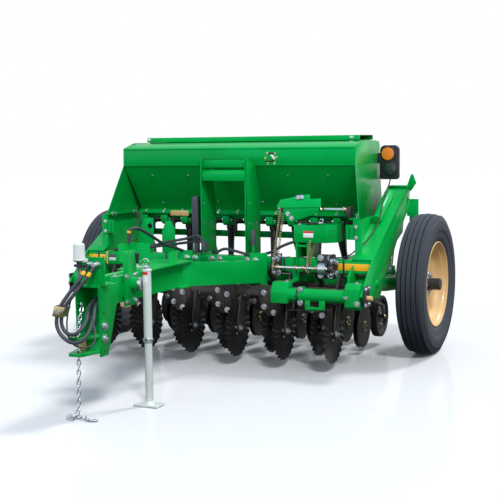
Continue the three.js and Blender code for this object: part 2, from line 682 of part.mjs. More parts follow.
// lift cylinder: the barrel hangs on the tower's top pin, the rod's eye sits between the arm's lugs
function liftCylinder(s, side) {
  const x = s * (armIn + armOut) / 2;
  const top = new THREE.Vector3(x, cylTop.y, cylTop.z);
  const eye = new THREE.Vector3(x, cylEye.y, cylEye.z);
  const dir = eye.clone().sub(top).normalize();
  const at = (d) => top.clone().addScaledVector(dir, d).toArray();
  const across = (half, c, r, n) => rod([x - half, c.y, c.z], [x + half, c.y, c.z], r, n);
  put(`cylinder_barrel_${side}`, cut(
    fuse(rod(at(20), at(340), 34, 14), across(23, cylTop, 32, 14)),
    across(40, cylTop, cylTop.r + 1, 12),
    rod(at(60), at(400), 16.5, 14),
  ), green);
  const eyeHalf = (armOut - armIn) / 2 - lugThick - fit;
  const rodBar = rod(at(220), at(top.distanceTo(eye)), 15, 12);
  put(`cylinder_rod_${side}`, fuse(rodBar, across(eyeHalf, cylEye, cylEye.r, 14)), zinc);
}

function lamps() {
  for (const [s, side] of sides) {
    put(`lamp_${side}`, fuse(
      box(s * (boxHalf + 21), s * (boxHalf + 176), 896, 940, 1352, 1622),
      box(s * (boxHalf + 4.3), s * (boxHalf + 29), 905, 935, 1480, 1560),
    ), plastic);
  }
}
function walkboardNode() {
  const { half, y0, y1, z } = walkboard;
  const wallY = boxRearY + fit;
  const hanger = [[wallY, 1305], [wallY, 1420], [975, 1420], [1010, z + 60], [962, z + 60]];
  const brackets = [-700, 700].map((x) => fuse(
    box(x - 5, x + 5, 962, y0 + 40, z + 20, z + 80),
    box(x - 5, x + 5, y0, y1 - 40, z - 20, z + 80),
    slabX(hanger, x - 5, x + 5),
  ));
  put('walkboard', fuse(box(-half, half, y0, y1, z - 30, z), brackets), green);
}

// loose lines at the hitch
const hoseR = 11.5;
const cableR = 5;
const chainR = 15;
const hoseRouteA = [
  [32, -1704.3, 935], [32, -1735, 935], [29, -1768, 912], [20, -1808, 864], [-8, -1840, 813],
  [-38, -1866, 763], [-63, -1890, 715], [-80, -1905, 670], [-87, -1914, 626], [-83, -1919, 586],
  [-65, -1922, 550], [-34, -1922, 518], [6, -1919, 496], [50, -1908, 493], [84, -1884, 516],
  [98, -1848, 560], [94, -1805, 608], [76, -1760, 652], [58, -1712, 688], [54, -1650, 712],
  [52, -1600, 722], [50, -1565, 725], [50, -1541, 725],
];
const hoseRouteB = [
  [79, -1704.3, 935], [79, -1735, 935], [74, -1772, 906], [52, -1803, 856], [22, -1832, 808],
  [-7, -1860, 759], [-34, -1880, 717], [-54, -1893, 673], [-63, -1900, 630], [-60, -1902, 590],
  [-42, -1902, 556], [-10, -1899, 536], [30, -1890, 541], [58, -1866, 570], [62, -1825, 612],
  [44, -1780, 650], [24, -1730, 682], [14, -1670, 704], [10, -1610, 712], [10, -1565, 714],
  [10, -1541, 714],
];
const cableRoute = [
  [-2, -1787, 854.6], [-2, -1787, 838], [-12, -1794, 812], [-28, -1810, 777], [-44, -1822, 733],
  [-54, -1832, 685], [-60, -1842, 632], [-59, -1852, 578], [-42, -1868, 524], [0, -1885, 480],
  [48, -1893, 464], [88, -1890, 462], [118, -1876, 470], [128, -1848, 492], [112, -1812, 524],
  [84, -1778, 566], [46, -1750, 606], [10, -1720, 642], [-16, -1670, 676], [-24, -1610, 695],
  [-24, -1565, 698], [-24, -1541, 698],
];
const chainRoute = [
  [-52, -1700, 683.6], [-52, -1700, 662], [-46, -1722, 628], [-30, -1762, 588], [-12, -1800, 556],
  [-2, -1822, 528], [0, -1826, 490], [0, -1826, 440], [0, -1826, 390], [0, -1828, 310],
  [-1, -1830, 220], [-3, -1833, 130], [-6, -1838, 66], [-22, -1848, 26], [-58, -1852, 16],
  [-84, -1832, 16], [-70, -1806, 16], [-20, -1800, 16], [30, -1806, 16], [52, -1828, 16],
];
function looseLines() {
  put('hose_a', hose(hoseRouteA, hoseR, 8, 30), rubber);
  put('hose_b', hose(hoseRouteB, hoseR, 8, 30), rubber);
  put('light_cable', hose(cableRoute, cableR, 8, 46), plastic);
  put('safety_chain', hose(chainRoute, chainR, 8, 30), zinc);
  put('light_plug', fuse(
    rod([-2, -1787, 918], [-2, -1787, 954.7], 17, 12),
    box(-42, 38, -1793, -1781, 924, 938),
    rod([-2, -1787, 855], [-2, -1787, 919], 11, 12, 15),
  ), plastic);
  // clamp block round both hoses
  put('hose_clamp', cut(
    slabY([[-110, 644], [-44, 638], [-16, 700], [-90, 708]], -1930, -1866),
    slabY([[-105.6, 620], [-52.4, 620], [-15.3, 730], [-77.4, 730]], -1925, -1871),
  ), rimPaint);
}

put('front_toolbar', box(-toolbarHalf, toolbarHalf, tb.y0, tb.y1, tb.z0, tb.z1), green);
endFrames();
openerBarNode();
tongue();
hitch();
hoseHolder();
jackNodes();
seedBox();
endPanels();
lidNode();
mast();
coulterGang();
coulterBlades();
openers();
pressWheels();
seedMeters();
driveGuards();
driveTrain();
for (const [s, side] of sides) {
  wheelArm(s, side);
  endWheel(s, side);
  liftCylinder(s, side);
}
lamps();
walkboardNode();
looseLines();

export default group;
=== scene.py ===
import json
import math
import bpy
import bmesh
from mathutils import Matrix, Vector


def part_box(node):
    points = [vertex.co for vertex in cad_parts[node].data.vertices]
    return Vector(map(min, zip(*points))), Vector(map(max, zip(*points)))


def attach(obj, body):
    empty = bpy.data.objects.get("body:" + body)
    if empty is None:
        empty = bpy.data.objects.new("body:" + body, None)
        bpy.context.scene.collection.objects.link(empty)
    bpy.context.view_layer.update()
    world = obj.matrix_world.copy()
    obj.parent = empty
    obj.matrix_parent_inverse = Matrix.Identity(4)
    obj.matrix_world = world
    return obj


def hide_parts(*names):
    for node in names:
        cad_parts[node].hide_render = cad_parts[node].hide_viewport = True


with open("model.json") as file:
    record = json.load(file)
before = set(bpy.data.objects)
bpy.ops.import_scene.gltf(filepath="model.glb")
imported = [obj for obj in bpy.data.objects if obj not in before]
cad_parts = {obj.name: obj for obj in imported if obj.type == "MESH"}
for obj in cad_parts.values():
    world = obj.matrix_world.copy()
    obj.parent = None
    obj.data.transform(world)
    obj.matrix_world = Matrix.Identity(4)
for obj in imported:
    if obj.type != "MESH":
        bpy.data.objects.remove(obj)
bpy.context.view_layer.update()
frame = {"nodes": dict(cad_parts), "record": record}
print("frame loaded:", len(frame["nodes"]), "nodes")

# Everything below is drawn in millimetres, with y counted from the front row of coulter axles.
mm = 0.001
rowShift = (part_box("coulter_blade_01")[0].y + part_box("coulter_blade_01")[1].y) / 2 / mm
rowPitch = (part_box("coulter_blade_11")[0].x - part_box("coulter_blade_01")[0].x) / 10 / mm
rowNumbers = range(1, 12)
sides = ((-1, "left"), (1, "right"))


def rowX(i):
    return (i - 6) * rowPitch


def isFront(i):
    return (i - 6) % 2 != 0


def rowY(part, i):  # front and rear ranks take turns
    return part["frontY"] if isFront(i) else part["rearY"]


def spot(x, y, z):
    return Vector((x * mm, (y + rowShift) * mm, z * mm))


# camera, light and floor
view = {
    "place": (3499, -6988, 1643), "yaw": 24.6, "pitch": 5.8, "roll": -0.7, "lens": 75.2,
    "skyStops": ((0.0, (0.05, 0.06, 0.06)), (0.42, (0.07, 0.08, 0.08)), (0.475, (1.0, 1.0, 1.0)),
                 (0.575, (1.0, 1.0, 1.0)), (0.72, (0.66, 0.74, 0.86)), (1.0, (0.60, 0.70, 0.86))),
    "suns": {"sun_front": ((0.62, -0.76, 0.92), 2.2, 10), "sun_back": ((0.34, 0.55, 1.0), 1.8, 12)},
    "lamps": {"key": ((-3000, -5600, 3000), 26, 2.6), "side": ((5600, -3600, 2400), 26, 2.2)},
    "lampAim": (0, 200, 700), "floorHalf": 60,
}


def makeCamera():
    yaw, pitch, roll = (math.radians(view[k]) for k in ("yaw", "pitch", "roll"))
    forward = Vector((-math.sin(yaw) * math.cos(pitch), math.cos(yaw) * math.cos(pitch), -math.sin(pitch)))
    right = Vector((math.cos(yaw), math.sin(yaw), 0))
    up = right.cross(forward)
    across = right * math.cos(roll) + up * math.sin(roll)
    upright = up * math.cos(roll) - right * math.sin(roll)
    camera = bpy.data.objects.new("camera", bpy.data.cameras.new("camera"))
    camera.data.lens = view["lens"]
    camera.data.sensor_width = 36
    camera.data.clip_end = 60
    turn = Matrix((across, upright, -forward)).transposed().to_4x4()
    camera.matrix_world = Matrix.Translation(spot(*view["place"])) @ turn
    bpy.context.scene.collection.objects.link(camera)
    bpy.context.scene.camera = camera


def lookAt(place, target):
    return (spot(*target) - spot(*place)).to_track_quat("-Z", "Y").to_matrix().to_4x4()


makeCamera()


# studio light: pale at the horizon, bluer overhead, dim below so that undersides stay dark
def makeSky(world):
    world.use_nodes = True
    nodes, connect = world.node_tree.nodes, world.node_tree.links.new
    height = nodes.new("ShaderNodeSeparateXYZ")
    connect(nodes.new("ShaderNodeTexCoord").outputs["Generated"], height.inputs[0])
    level = nodes.new("ShaderNodeMapRange")
    level.inputs["From Min"].default_value = -1.0
    connect(height.outputs["Z"], level.inputs["Value"])
    ramp = nodes.new("ShaderNodeValToRGB")
    for i, (at, colour) in enumerate(view["skyStops"]):
        stop = ramp.color_ramp.elements[i] if i < 2 else ramp.color_ramp.elements.new(at)
        stop.position, stop.color = at, (*colour, 1)
    connect(level.outputs[0], ramp.inputs["Fac"])
    connect(ramp.outputs["Color"], nodes["Background"].inputs["Color"])


def makeLights():
    scene = bpy.context.scene
    scene.view_settings.view_transform = "Standard"
    scene.world = bpy.data.worlds.new("studio")
    makeSky(scene.world)
    for name, (toward, strength, angle) in view["suns"].items():
        sun = bpy.data.objects.new(name, bpy.data.lights.new(name, "SUN"))
        sun.data.energy = strength
        sun.data.angle = math.radians(angle)
        sun.matrix_world = Vector(toward).to_track_quat("Z", "Y").to_matrix().to_4x4()
        scene.collection.objects.link(sun)
    for name, (place, power, size) in view["lamps"].items():
        lamp = bpy.data.objects.new(name, bpy.data.lights.new(name, "AREA"))
        lamp.data.energy, lamp.data.size = power, size
        lamp.matrix_world = Matrix.Translation(spot(*place)) @ lookAt(place, view["lampAim"])
        scene.collection.objects.link(lamp)


makeLights()


# shader maths: a wrapped socket that adds its own Math nodes
class Wire:
    def __init__(self, shader, socket):
        self.shader, self.socket = shader, socket

    def math(self, operation, *others):
        return self.shader.add("ShaderNodeMath", {"operation": operation}, dict(enumerate((self,) + others)))

    def __add__(self, other):
        return self.math("ADD", other)

    def __mul__(self, other):
        return self.math("MULTIPLY", other)

    def __sub__(self, other):
        return self.math("SUBTRACT", other)

    def __rsub__(self, other):
        return self.shader.add("ShaderNodeMath", {"operation": "SUBTRACT"}, {0: other, 1: self})

    __radd__, __rmul__ = __add__, __mul__

    def clamped(self):
        return self.shader.add("ShaderNodeClamp", {}, {"Value": self})


class Shader:
    def __init__(self, name):
        self.material = bpy.data.materials.new(name)
        self.material.use_nodes = True
        self.tree = self.material.node_tree
        self.surface = self.tree.nodes["Principled BSDF"]
        self.place = Wire(self, self.tree.nodes.new("ShaderNodeTexCoord").outputs["Object"])

    def add(self, kind, settings, values, out=0):
        made = self.tree.nodes.new(kind)
        for key, value in settings.items():
            setattr(made, key, value)
        for key, value in values.items():
            self.feed(made.inputs[key], value)
        return Wire(self, made.outputs[out])

    def feed(self, socket, value):
        if isinstance(value, Wire):
            self.tree.links.new(value.socket, socket)
        elif isinstance(value, tuple) and len(value) == 3 and socket.type == "RGBA":
            socket.default_value = (*value, 1)
        else:
            socket.default_value = value

    def noise(self, scale, detail=3.0, roughness=0.55):
        values = {"Vector": self.place, "Scale": scale, "Detail": detail, "Roughness": roughness}
        return self.add("ShaderNodeTexNoise", {}, values)

    def mix(self, factor, a, b):
        return self.add("ShaderNodeMix", {"data_type": "RGBA"}, {0: factor, 6: a, 7: b}, 2)

    def band(self, value, low, high):  # 0 below low, 1 above high
        settings = {"interpolation_type": "SMOOTHSTEP"}
        return self.add("ShaderNodeMapRange", settings, {"Value": value, "From Min": low, "From Max": high})

    def split(self, wire):
        made = self.tree.nodes.new("ShaderNodeSeparateXYZ")
        self.tree.links.new(wire.socket, made.inputs[0])
        return [Wire(self, made.outputs[i]) for i in range(3)]

    def bump(self, height, strength, distance):
        values = {"Height": height, "Strength": strength, "Distance": distance}
        return self.add("ShaderNodeBump", {}, values)

    def finish(self, **values):
        for key, value in values.items():
            self.feed(self.surface.inputs[key.replace("_", " ")], value)
        return self.material


def paint(name, colour, shade, rough=0.3, coat=0.15, tint=None, dust=0.25):
    s = Shader(name)
    broad, fine = s.noise(2.2), s.noise(46, 4)
    height = s.split(s.place)[2]
    low = 1 - s.band(height, 0.1, 0.75)
    grime = (low * s.band(fine, 0.45, 0.72) * dust).clamped()
    body = s.mix(s.band(broad, 0.35, 0.7), colour, shade)
    made = s.finish(
        Base_Color=s.mix(grime, body, (0.20, 0.17, 0.13)),
        Roughness=fine * 0.12 + (rough - 0.06) + grime * 0.35,
        Normal=s.bump(s.noise(38, 2), 0.05, 0.0008),
        Coat_Weight=coat, Coat_Roughness=0.16,
    )
    if tint:
        s.surface.inputs["Specular Tint"].default_value = (*tint, 1)
    return made


def metal(name, colour, shade, rough=0.3, grain=70):
    s = Shader(name)
    spangle = s.add("ShaderNodeTexVoronoi", {}, {"Vector": s.place, "Scale": grain}, 1)
    cell = s.split(spangle)[0]
    cloud = s.noise(30, 4)
    return s.finish(
        Base_Color=s.mix(cell * 0.5 + cloud * 0.5, colour, shade),
        Roughness=cell * 0.12 + cloud * 0.2 + (rough - 0.12),
        Normal=s.bump(s.noise(260, 3), 0.08, 0.0004),
        Metallic=1.0,
    )


def rubber(name, colour, dusty, rough=0.72, dust=0.5, bump=0.2):
    s = Shader(name)
    cloud, fine = s.noise(5.5, 5), s.noise(300, 3)
    return s.finish(
        Base_Color=s.mix((s.band(cloud, 0.38, 0.75) * dust).clamped(), colour, dusty),
        Roughness=cloud * 0.16 + (rough - 0.08),
        Normal=s.bump(fine, bump, 0.0008),
    )


def blackSteel(name, colour, worn, rough=0.32):
    s = Shader(name)
    streak = s.noise(14, 6, 0.7)
    mask = s.band(streak, 0.56, 0.74)
    return s.finish(
        Base_Color=s.mix(mask * 0.7, colour, worn),
        Roughness=s.noise(90, 3) * 0.25 + (rough - 0.1),
        Normal=s.bump(s.noise(180, 4), 0.12, 0.0006),
        Metallic=mask * 0.3,
        Coat_Weight=0.15, Coat_Roughness=0.25,
    )


def lens(name, colour, ridgeGlint):
    s = Shader(name)
    x, _, z = s.split(s.place)
    ridge = (x * 700).math("SINE") * (z * 700).math("SINE")
    # painted glint: the ridge tops of the lens take the lighter second colour, as if they caught the light
    return s.finish(
        Base_Color=s.mix(s.band(ridge, -0.4, 0.9), colour, ridgeGlint),
        Roughness=s.noise(60) * 0.08 + 0.05,
        Normal=s.bump(ridge, 0.35, 0.001),
        Coat_Weight=1.0, Coat_Roughness=0.03,
    )


def film(name, colour, shade, rough=0.35):  # stickers and stripes
    s = Shader(name)
    return s.finish(
        Base_Color=s.mix(s.band(s.noise(18, 4), 0.3, 0.8), colour, shade),
        Roughness=s.noise(40) * 0.1 + rough,
        Normal=s.bump(s.noise(140, 2), 0.06, 0.0004),
        Coat_Weight=0.3, Coat_Roughness=0.1,
    )


greenTint = (0.06, 1.0, 0.70)
finishes = {
    "green": paint("green paint", (0.0004, 0.335, 0.050), (0.0004, 0.285, 0.038), 0.30, 0.0, greenTint),
    "charcoal": paint("charcoal paint", (0.036, 0.029, 0.027), (0.024, 0.020, 0.019), 0.46, 0.05),
    "cream": paint("cream wheel paint", (0.64, 0.42, 0.19), (0.56, 0.35, 0.15), 0.36, 0.1),
    "pale": paint("pale grey paint", (0.60, 0.66, 0.64), (0.52, 0.58, 0.56), 0.34, 0.2, None, 0.12),
    "zinc": metal("bright zinc", (0.72, 0.76, 0.82), (0.50, 0.54, 0.60), 0.30),
    "gold": metal("yellow zinc", (0.72, 0.60, 0.34), (0.50, 0.42, 0.26), 0.34, 120),
    "chrome": metal("ground chrome", (0.82, 0.84, 0.86), (0.74, 0.76, 0.80), 0.18, 20),
    "blade": blackSteel("black blade steel", (0.009, 0.008, 0.009), (0.040, 0.034, 0.032), 0.4),
    "tyre": rubber("tyre rubber", (0.022, 0.027, 0.038), (0.036, 0.042, 0.054), 0.62, 0.4, 0.06),
    "press": rubber("press wheel rubber", (0.014, 0.014, 0.017), (0.05, 0.045, 0.04), 0.6, 0.4),
    "hose": rubber("hose cover", (0.030, 0.034, 0.046), (0.055, 0.06, 0.072), 0.5, 0.4, 0.12),
    "plastic": rubber("black plastic", (0.014, 0.014, 0.018), (0.03, 0.03, 0.035), 0.45, 0.4, 0.1),
    "slate": rubber("slate plastic", (0.052, 0.060, 0.085), (0.07, 0.08, 0.10), 0.5, 0.4, 0.1),
    "disc": blackSteel("press wheel disc", (0.075, 0.064, 0.058), (0.15, 0.13, 0.12), 0.42),
    # the second colour of each lens is a painted glint on its ridges
    "amber": lens("amber lens", (0.78, 0.15, 0.003), (0.95, 0.30, 0.02)),
    "smoke": lens("smoked lens", (0.010, 0.014, 0.016), (0.03, 0.04, 0.045)),
    "stripe": film("yellow stripe", (0.88, 0.44, 0.003), (0.80, 0.38, 0.003)),
    "white": film("white film", (0.80, 0.82, 0.84), (0.68, 0.70, 0.74)),
    "red": film("red film", (0.70, 0.012, 0.014), (0.60, 0.01, 0.012)),
    "floor": film("pale floor", (0.62, 0.62, 0.625), (0.605, 0.605, 0.61), 0.8),
}
print("finishes made:", len(finishes))


def makeFloor():
    half = view["floorHalf"]
    data = bpy.data.meshes.new("floor")
    data.from_pydata([(-half, -half, 0), (half, -half, 0), (half, half, 0), (-half, half, 0)], [], [(0, 1, 2, 3)])
    floor = bpy.data.objects.new("floor", data)
    floor.data.materials.append(finishes["floor"])
    bpy.context.scene.collection.objects.link(floor)
    floor.visible_diffuse = floor.visible_glossy = False  # it takes shadows but throws no light back up


makeFloor()


# mesh stock: closed shapes gathered into one piece
def along(axis):  # local z turned on to an axis
    return Vector(axis).to_track_quat("Z", "Y").to_matrix()


def arc(centreX, centreY, radius, start, end, steps):
    turns = [math.radians(start + (end - start) * i / steps) for i in range(steps + 1)]
    return [(centreX + radius * math.cos(t), centreY + radius * math.sin(t)) for t in turns]


def smoothRoute(points, spacing):
    line = [Vector(p) for p in points]
    made = []
    for i in range(len(line) - 1):
        before = line[i - 1] if i else line[0] * 2 - line[1]
        after = line[i + 2] if i + 2 < len(line) else line[-1] * 2 - line[-2]
        a, b = line[i], line[i + 1]
        steps = max(1, round((b - a).length / spacing))
        for k in range(steps):
            t = k / steps
            made.append(0.5 * (2 * a + (b - before) * t + (2 * before - 5 * a + 4 * b - after) * t * t
                               + (3 * a - before - 3 * b + after) * t ** 3))
    return made + [line[-1]]


def shellFaces(n):  # two ends of n corners each, and the walls between them
    return [list(range(n))[::-1], list(range(n, 2 * n))] + [[i, (i + 1) % n, n + (i + 1) % n, n + i] for i in range(n)]


class Stock:
    def __init__(self):
        self.points, self.faces = [], []

    def add(self, points, faces):
        first = len(self.points)
        self.points += [Vector(p) for p in points]
        self.faces += [[first + i for i in face] for face in faces]
        return self

    def prism(self, outline, axis, low, high):
        pick = {"X": lambda u, v, w: (w, u, v), "Y": lambda u, v, w: (u, w, v), "Z": lambda u, v, w: (u, v, w)}[axis]
        return self.add([pick(u, v, w) for w in (low, high) for u, v in outline], shellFaces(len(outline)))

    def box(self, x0, x1, y0, y1, z0, z1):
        return self.prism([(x0, y0), (x1, y0), (x1, y1), (x0, y1)], "Z", z0, z1)

    def sheet(self, corners, through):  # a flat plate by its corners and its thickness
        points = [Vector(p) for p in corners]
        return self.add(points + [p + Vector(through) for p in points], shellFaces(len(points)))

    def turned(self, outline, centre, axis, count=64):  # outline of (distance along, radius), closed or axis to axis
        frameTurn, centre = along(axis), Vector(centre)
        rings, points = [], []
        for a, r in outline:
            if r <= 0:
                rings.append([len(points)])
                points.append(centre + frameTurn @ Vector((0, 0, a)))
                continue
            rings.append(list(range(len(points), len(points) + count)))
            for k in range(count):
                t = 2 * math.pi * k / count
                points.append(centre + frameTurn @ Vector((r * math.cos(t), r * math.sin(t), a)))
        pairs = list(zip(rings, rings[1:]))
        if outline[0][1] > 0 and outline[-1][1] > 0:
            pairs.append((rings[-1], rings[0]))
        faces = []
        for p, q in pairs:
            for k in range(count):
                m = (k + 1) % count
                corner = [p[k % len(p)], p[m % len(p)], q[m % len(q)], q[k % len(q)]]
                if len(set(corner)) > 2:
                    faces.append([c for i, c in enumerate(corner) if c not in corner[:i]])
        return self.add(points, faces)

    def rod(self, a, b, radius, count=24):
        a, b = Vector(a), Vector(b)
        length = (b - a).length
        return self.turned([(0, 0), (0, radius), (length, radius), (length, 0)], a, b - a, count)

    def sweep(self, route, radius, count=12, flat=None):  # round or flat bar along a line
        turn = along(route[1] - route[0])
        points, faces = [], []
        for i, p in enumerate(route):
            ahead = (route[min(i + 1, len(route) - 1)] - route[max(i - 1, 0)]).normalized()
            turn = (turn @ Vector((0, 0, 1))).rotation_difference(ahead).to_matrix() @ turn
            size = radius[i] if isinstance(radius, list) else radius
            for k in range(count):
                t = 2 * math.pi * k / count
                points.append(p + turn @ Vector((size * math.cos(t), (flat or size) * math.sin(t), 0)))
        for i in range(len(route) - 1):
            for k in range(count):
                m = (k + 1) % count
                faces.append([i * count + k, i * count + m, (i + 1) * count + m, (i + 1) * count + k])
        faces += [list(range(count))[::-1], [(len(route) - 1) * count + k for k in range(count)]]
        return self.add(points, faces)


def shadeByAngle(data, degrees):
    data.polygons.foreach_set("use_smooth", [True] * len(data.polygons))
    data.set_sharp_from_angle(angle=math.radians(degrees))


def plainMesh(made, name):  # modifiers baked in, object swapped for a plain one
    graph = bpy.context.evaluated_depsgraph_get()
    data = bpy.data.meshes.new_from_object(made.evaluated_get(graph))
    made.modifiers.clear()
    made.data = data
    data.name = name


def rounded(made, width, segments=2, angle=32):
    bevel = made.modifiers.new("edges", "BEVEL")
    bevel.width = width * mm
    bevel.segments = segments
    bevel.limit_method = "ANGLE"
    bevel.angle_limit = math.radians(angle)
    bevel.use_clamp_overlap = True
    plainMesh(made, made.name)


def drill(made, cutter):
    tool = placed("drill", stockMesh("drill", cutter))
    cutting = made.modifiers.new("holes", "BOOLEAN")
    cutting.operation, cutting.solver, cutting.object = "DIFFERENCE", "EXACT", tool
    plainMesh(made, made.name)
    bpy.data.objects.remove(tool)


def stockMesh(name, stock):
    work = bmesh.new()
    corners = [work.verts.new(spot(*p)) for p in stock.points]
    for face in stock.faces:
        work.faces.new([corners[i] for i in face])
    bmesh.ops.recalc_face_normals(work, faces=work.faces)
    data = bpy.data.meshes.new(name)
    work.to_mesh(data)
    work.free()
    return data


def placed(name, data):
    made = bpy.data.objects.new(name, data)
    bpy.context.scene.collection.objects.link(made)
    return made


def completed(made, finish, body, bevel, smooth, stands, segments):
    if bevel:
        rounded(made, bevel, segments)
    made.data.materials.clear()
    made.data.materials.append(finishes[finish])
    shadeByAngle(made.data, smooth)
    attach(made, body)
    if stands:
        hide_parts(*stands)
    return made


def piece(name, stock, finish, body, bevel=0, smooth=38, stands=(), segments=2):
    return completed(placed(name, stockMesh(name, stock)), finish, body, bevel, smooth, stands, segments)


bodyOf = {n: b for b, members in frame["record"]["behaviour"]["bodies"].items() for n in members}


def softened(name, finish, bevel=2.2, segments=2, cutter=None):  # a node's own shape with its edges eased
    work = bmesh.new()
    work.from_mesh(frame["nodes"][name].data)
    bmesh.ops.remove_doubles(work, verts=work.verts, dist=0.00002)
    bmesh.ops.dissolve_limit(work, angle_limit=math.radians(0.6), verts=work.verts, edges=work.edges)
    data = bpy.data.meshes.new(name + "_skin")
    work.to_mesh(data)
    work.free()
    made = placed(name + "_skin", data)
    if cutter:
        drill(made, cutter)
    completed(made, finish, bodyOf[name], bevel, 34, [name], segments)


# geometry node trees
class Graph:
    def __init__(self, name, **inputs):
        self.tree = bpy.data.node_groups.new(name, "GeometryNodeTree")
        face = self.tree.interface
        face.new_socket("Geometry", in_out="OUTPUT", socket_type="NodeSocketGeometry")
        self.keys = {}
        for key, kind in dict(Geometry="Geometry", **inputs).items():
            self.keys[key] = face.new_socket(key, in_out="INPUT", socket_type="NodeSocket" + kind).identifier
        self.inside = self.tree.nodes.new("NodeGroupInput").outputs
        self.outside = self.tree.nodes.new("NodeGroupOutput").inputs

    def add(self, kind, settings=None, out=0, **values):
        made = self.tree.nodes.new(kind)
        for key, value in (settings or {}).items():
            setattr(made, key, value)
        for key, value in values.items():
            socket = made.inputs[int(key[1:]) if key[0] == "_" else key.replace("_", " ")]
            if isinstance(value, bpy.types.NodeSocket):
                self.tree.links.new(value, socket)
            else:
                socket.default_value = value
        return made.outputs[out]

    def math(self, operation, a, b):
        return self.add("ShaderNodeMath", {"operation": operation}, _0=a, _1=b)

    def join(self, *parts):
        made = self.tree.nodes.new("GeometryNodeJoinGeometry")
        for part in parts:
            self.tree.links.new(part, made.inputs[0])
        return made.outputs[0]

    def close(self, geometry):
        whole = self.add("GeometryNodeRealizeInstances", Geometry=geometry)
        final = self.add("GeometryNodeSetMaterial", Geometry=whole, Material=self.inside["Finish"])
        self.tree.links.new(final, self.outside[0])

    def run(self, name, data, body, finish, **values):
        made = placed(name, data)
        modifier = made.modifiers.new("nodes", "NODES")
        modifier.node_group = self.tree
        for key, value in dict(values, Finish=finishes[finish]).items():
            modifier[self.keys[key]] = value
        plainMesh(made, name)
        shadeByAngle(made.data, 38)
        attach(made, body)
        return made


def pointMesh(name, rows):  # rows of (place, facing, size)
    data = bpy.data.meshes.new(name)
    data.from_pydata([spot(*place) for place, facing, size in rows], [], [])
    facing = data.attributes.new("facing", "FLOAT_VECTOR", "POINT")
    facing.data.foreach_set("vector", [c for row in rows for c in row[1]])
    size = data.attributes.new("size", "FLOAT", "POINT")
    size.data.foreach_set("value", [row[2] for row in rows])
    return data


def boltGraph():
    g = Graph("hex bolts", Across="Float", Height="Float", Finish="Material")
    across, height = g.inside["Across"], g.inside["Height"]

    def scaled(value, factor):
        return g.math("MULTIPLY", value, factor)

    def disc(sidesCount, radius, depth, lift):
        shape = g.add("GeometryNodeMeshCylinder", Vertices=sidesCount, Radius=radius, Depth=depth)
        shift = g.add("ShaderNodeCombineXYZ", Z=lift)
        return g.add("GeometryNodeTransform", Geometry=shape, Translation=shift)

    head = disc(6, scaled(across, 0.577), height, scaled(height, 0.86))
    cap = disc(14, scaled(across, 0.42), scaled(height, 0.14), scaled(height, 1.40))
    washer = disc(20, scaled(across, 0.88), scaled(height, 0.36), scaled(height, 0.18))
    facing = g.add("GeometryNodeInputNamedAttribute", {"data_type": "FLOAT_VECTOR"}, Name="facing")
    size = g.add("GeometryNodeInputNamedAttribute", {"data_type": "FLOAT"}, Name="size")
    turn = g.add("FunctionNodeAlignRotationToVector", {"axis": "Z"}, Vector=facing)
    g.close(g.add("GeometryNodeInstanceOnPoints", Points=g.inside["Geometry"], Instance=g.join(head, cap, washer),
                  Rotation=turn, Scale=size))
    return g


def linkGraph():  # alternate chain links along a line
    g = Graph("chain links", Pitch="Float", Wire="Float", Half="Float", Finish="Material")
    line = g.add("GeometryNodeMeshToCurve", Mesh=g.inside["Geometry"])
    points = g.add("GeometryNodeCurveToPoints", {"mode": "LENGTH"}, Curve=line, Length=g.inside["Pitch"])
    turn = points.node.outputs["Rotation"]
    index = g.add("GeometryNodeInputIndex")
    quarter = g.math("MULTIPLY", g.math("MODULO", index, 2.0), math.pi / 2)
    spin = g.add("FunctionNodeAxisAngleToRotation", Axis=(0, 0, 1), Angle=quarter)
    facing = g.add("FunctionNodeRotateRotation", {"rotation_space": "LOCAL"}, Rotation=turn, Rotate_By=spin)
    ring = g.add("GeometryNodeCurvePrimitiveCircle", Resolution=16, Radius=g.inside["Half"])
    place = g.add("GeometryNodeInputPosition")
    apart = g.add("ShaderNodeSeparateXYZ", Vector=place)
    half = g.add("ShaderNodeMath", {"operation": "SIGN"}, _0=apart.node.outputs["X"])
    stretch = g.math("MULTIPLY", g.math("MULTIPLY", half, g.inside["Half"]), 0.62)
    shift = g.add("ShaderNodeCombineXYZ", X=stretch)
    long = g.add("GeometryNodeSetPosition", Geometry=ring, Offset=shift)
    section = g.add("GeometryNodeCurvePrimitiveCircle", Resolution=8, Radius=g.inside["Wire"])
    link = g.add("GeometryNodeCurveToMesh", Curve=long, Profile_Curve=section)
    upright = g.add("GeometryNodeTransform", Geometry=link, Rotation=(0, math.pi / 2, 0))
    g.close(g.add("GeometryNodeInstanceOnPoints", Points=points, Instance=upright, Rotation=facing))
    return g


def rollerGraph():  # roller chain along a line, plates and pins
    g = Graph("roller chain", Pitch="Float", Finish="Material")
    line = g.add("GeometryNodeMeshToCurve", Mesh=g.inside["Geometry"])
    points = g.add("GeometryNodeCurveToPoints", {"mode": "LENGTH"}, Curve=line, Length=g.inside["Pitch"])
    turn = points.node.outputs["Rotation"]
    parts = []
    for x, long in ((-6.2, 14.6), (6.2, 14.6), (-4.4, 11.5), (4.4, 11.5)):
        plate = g.add("GeometryNodeMeshCylinder", Vertices=12, Radius=0.0062, Depth=0.0015)
        parts.append(g.add("GeometryNodeTransform", Geometry=plate, Translation=(x * mm, 0, 0),
                           Rotation=(0, math.pi / 2, 0), Scale=(long / 12.4, 1, 1)))
    pin = g.add("GeometryNodeMeshCylinder", Vertices=10, Radius=0.0042, Depth=0.015)
    parts.append(g.add("GeometryNodeTransform", Geometry=pin, Rotation=(0, math.pi / 2, 0)))
    g.close(g.add("GeometryNodeInstanceOnPoints", Points=points, Instance=g.join(*parts), Rotation=turn))
    return g


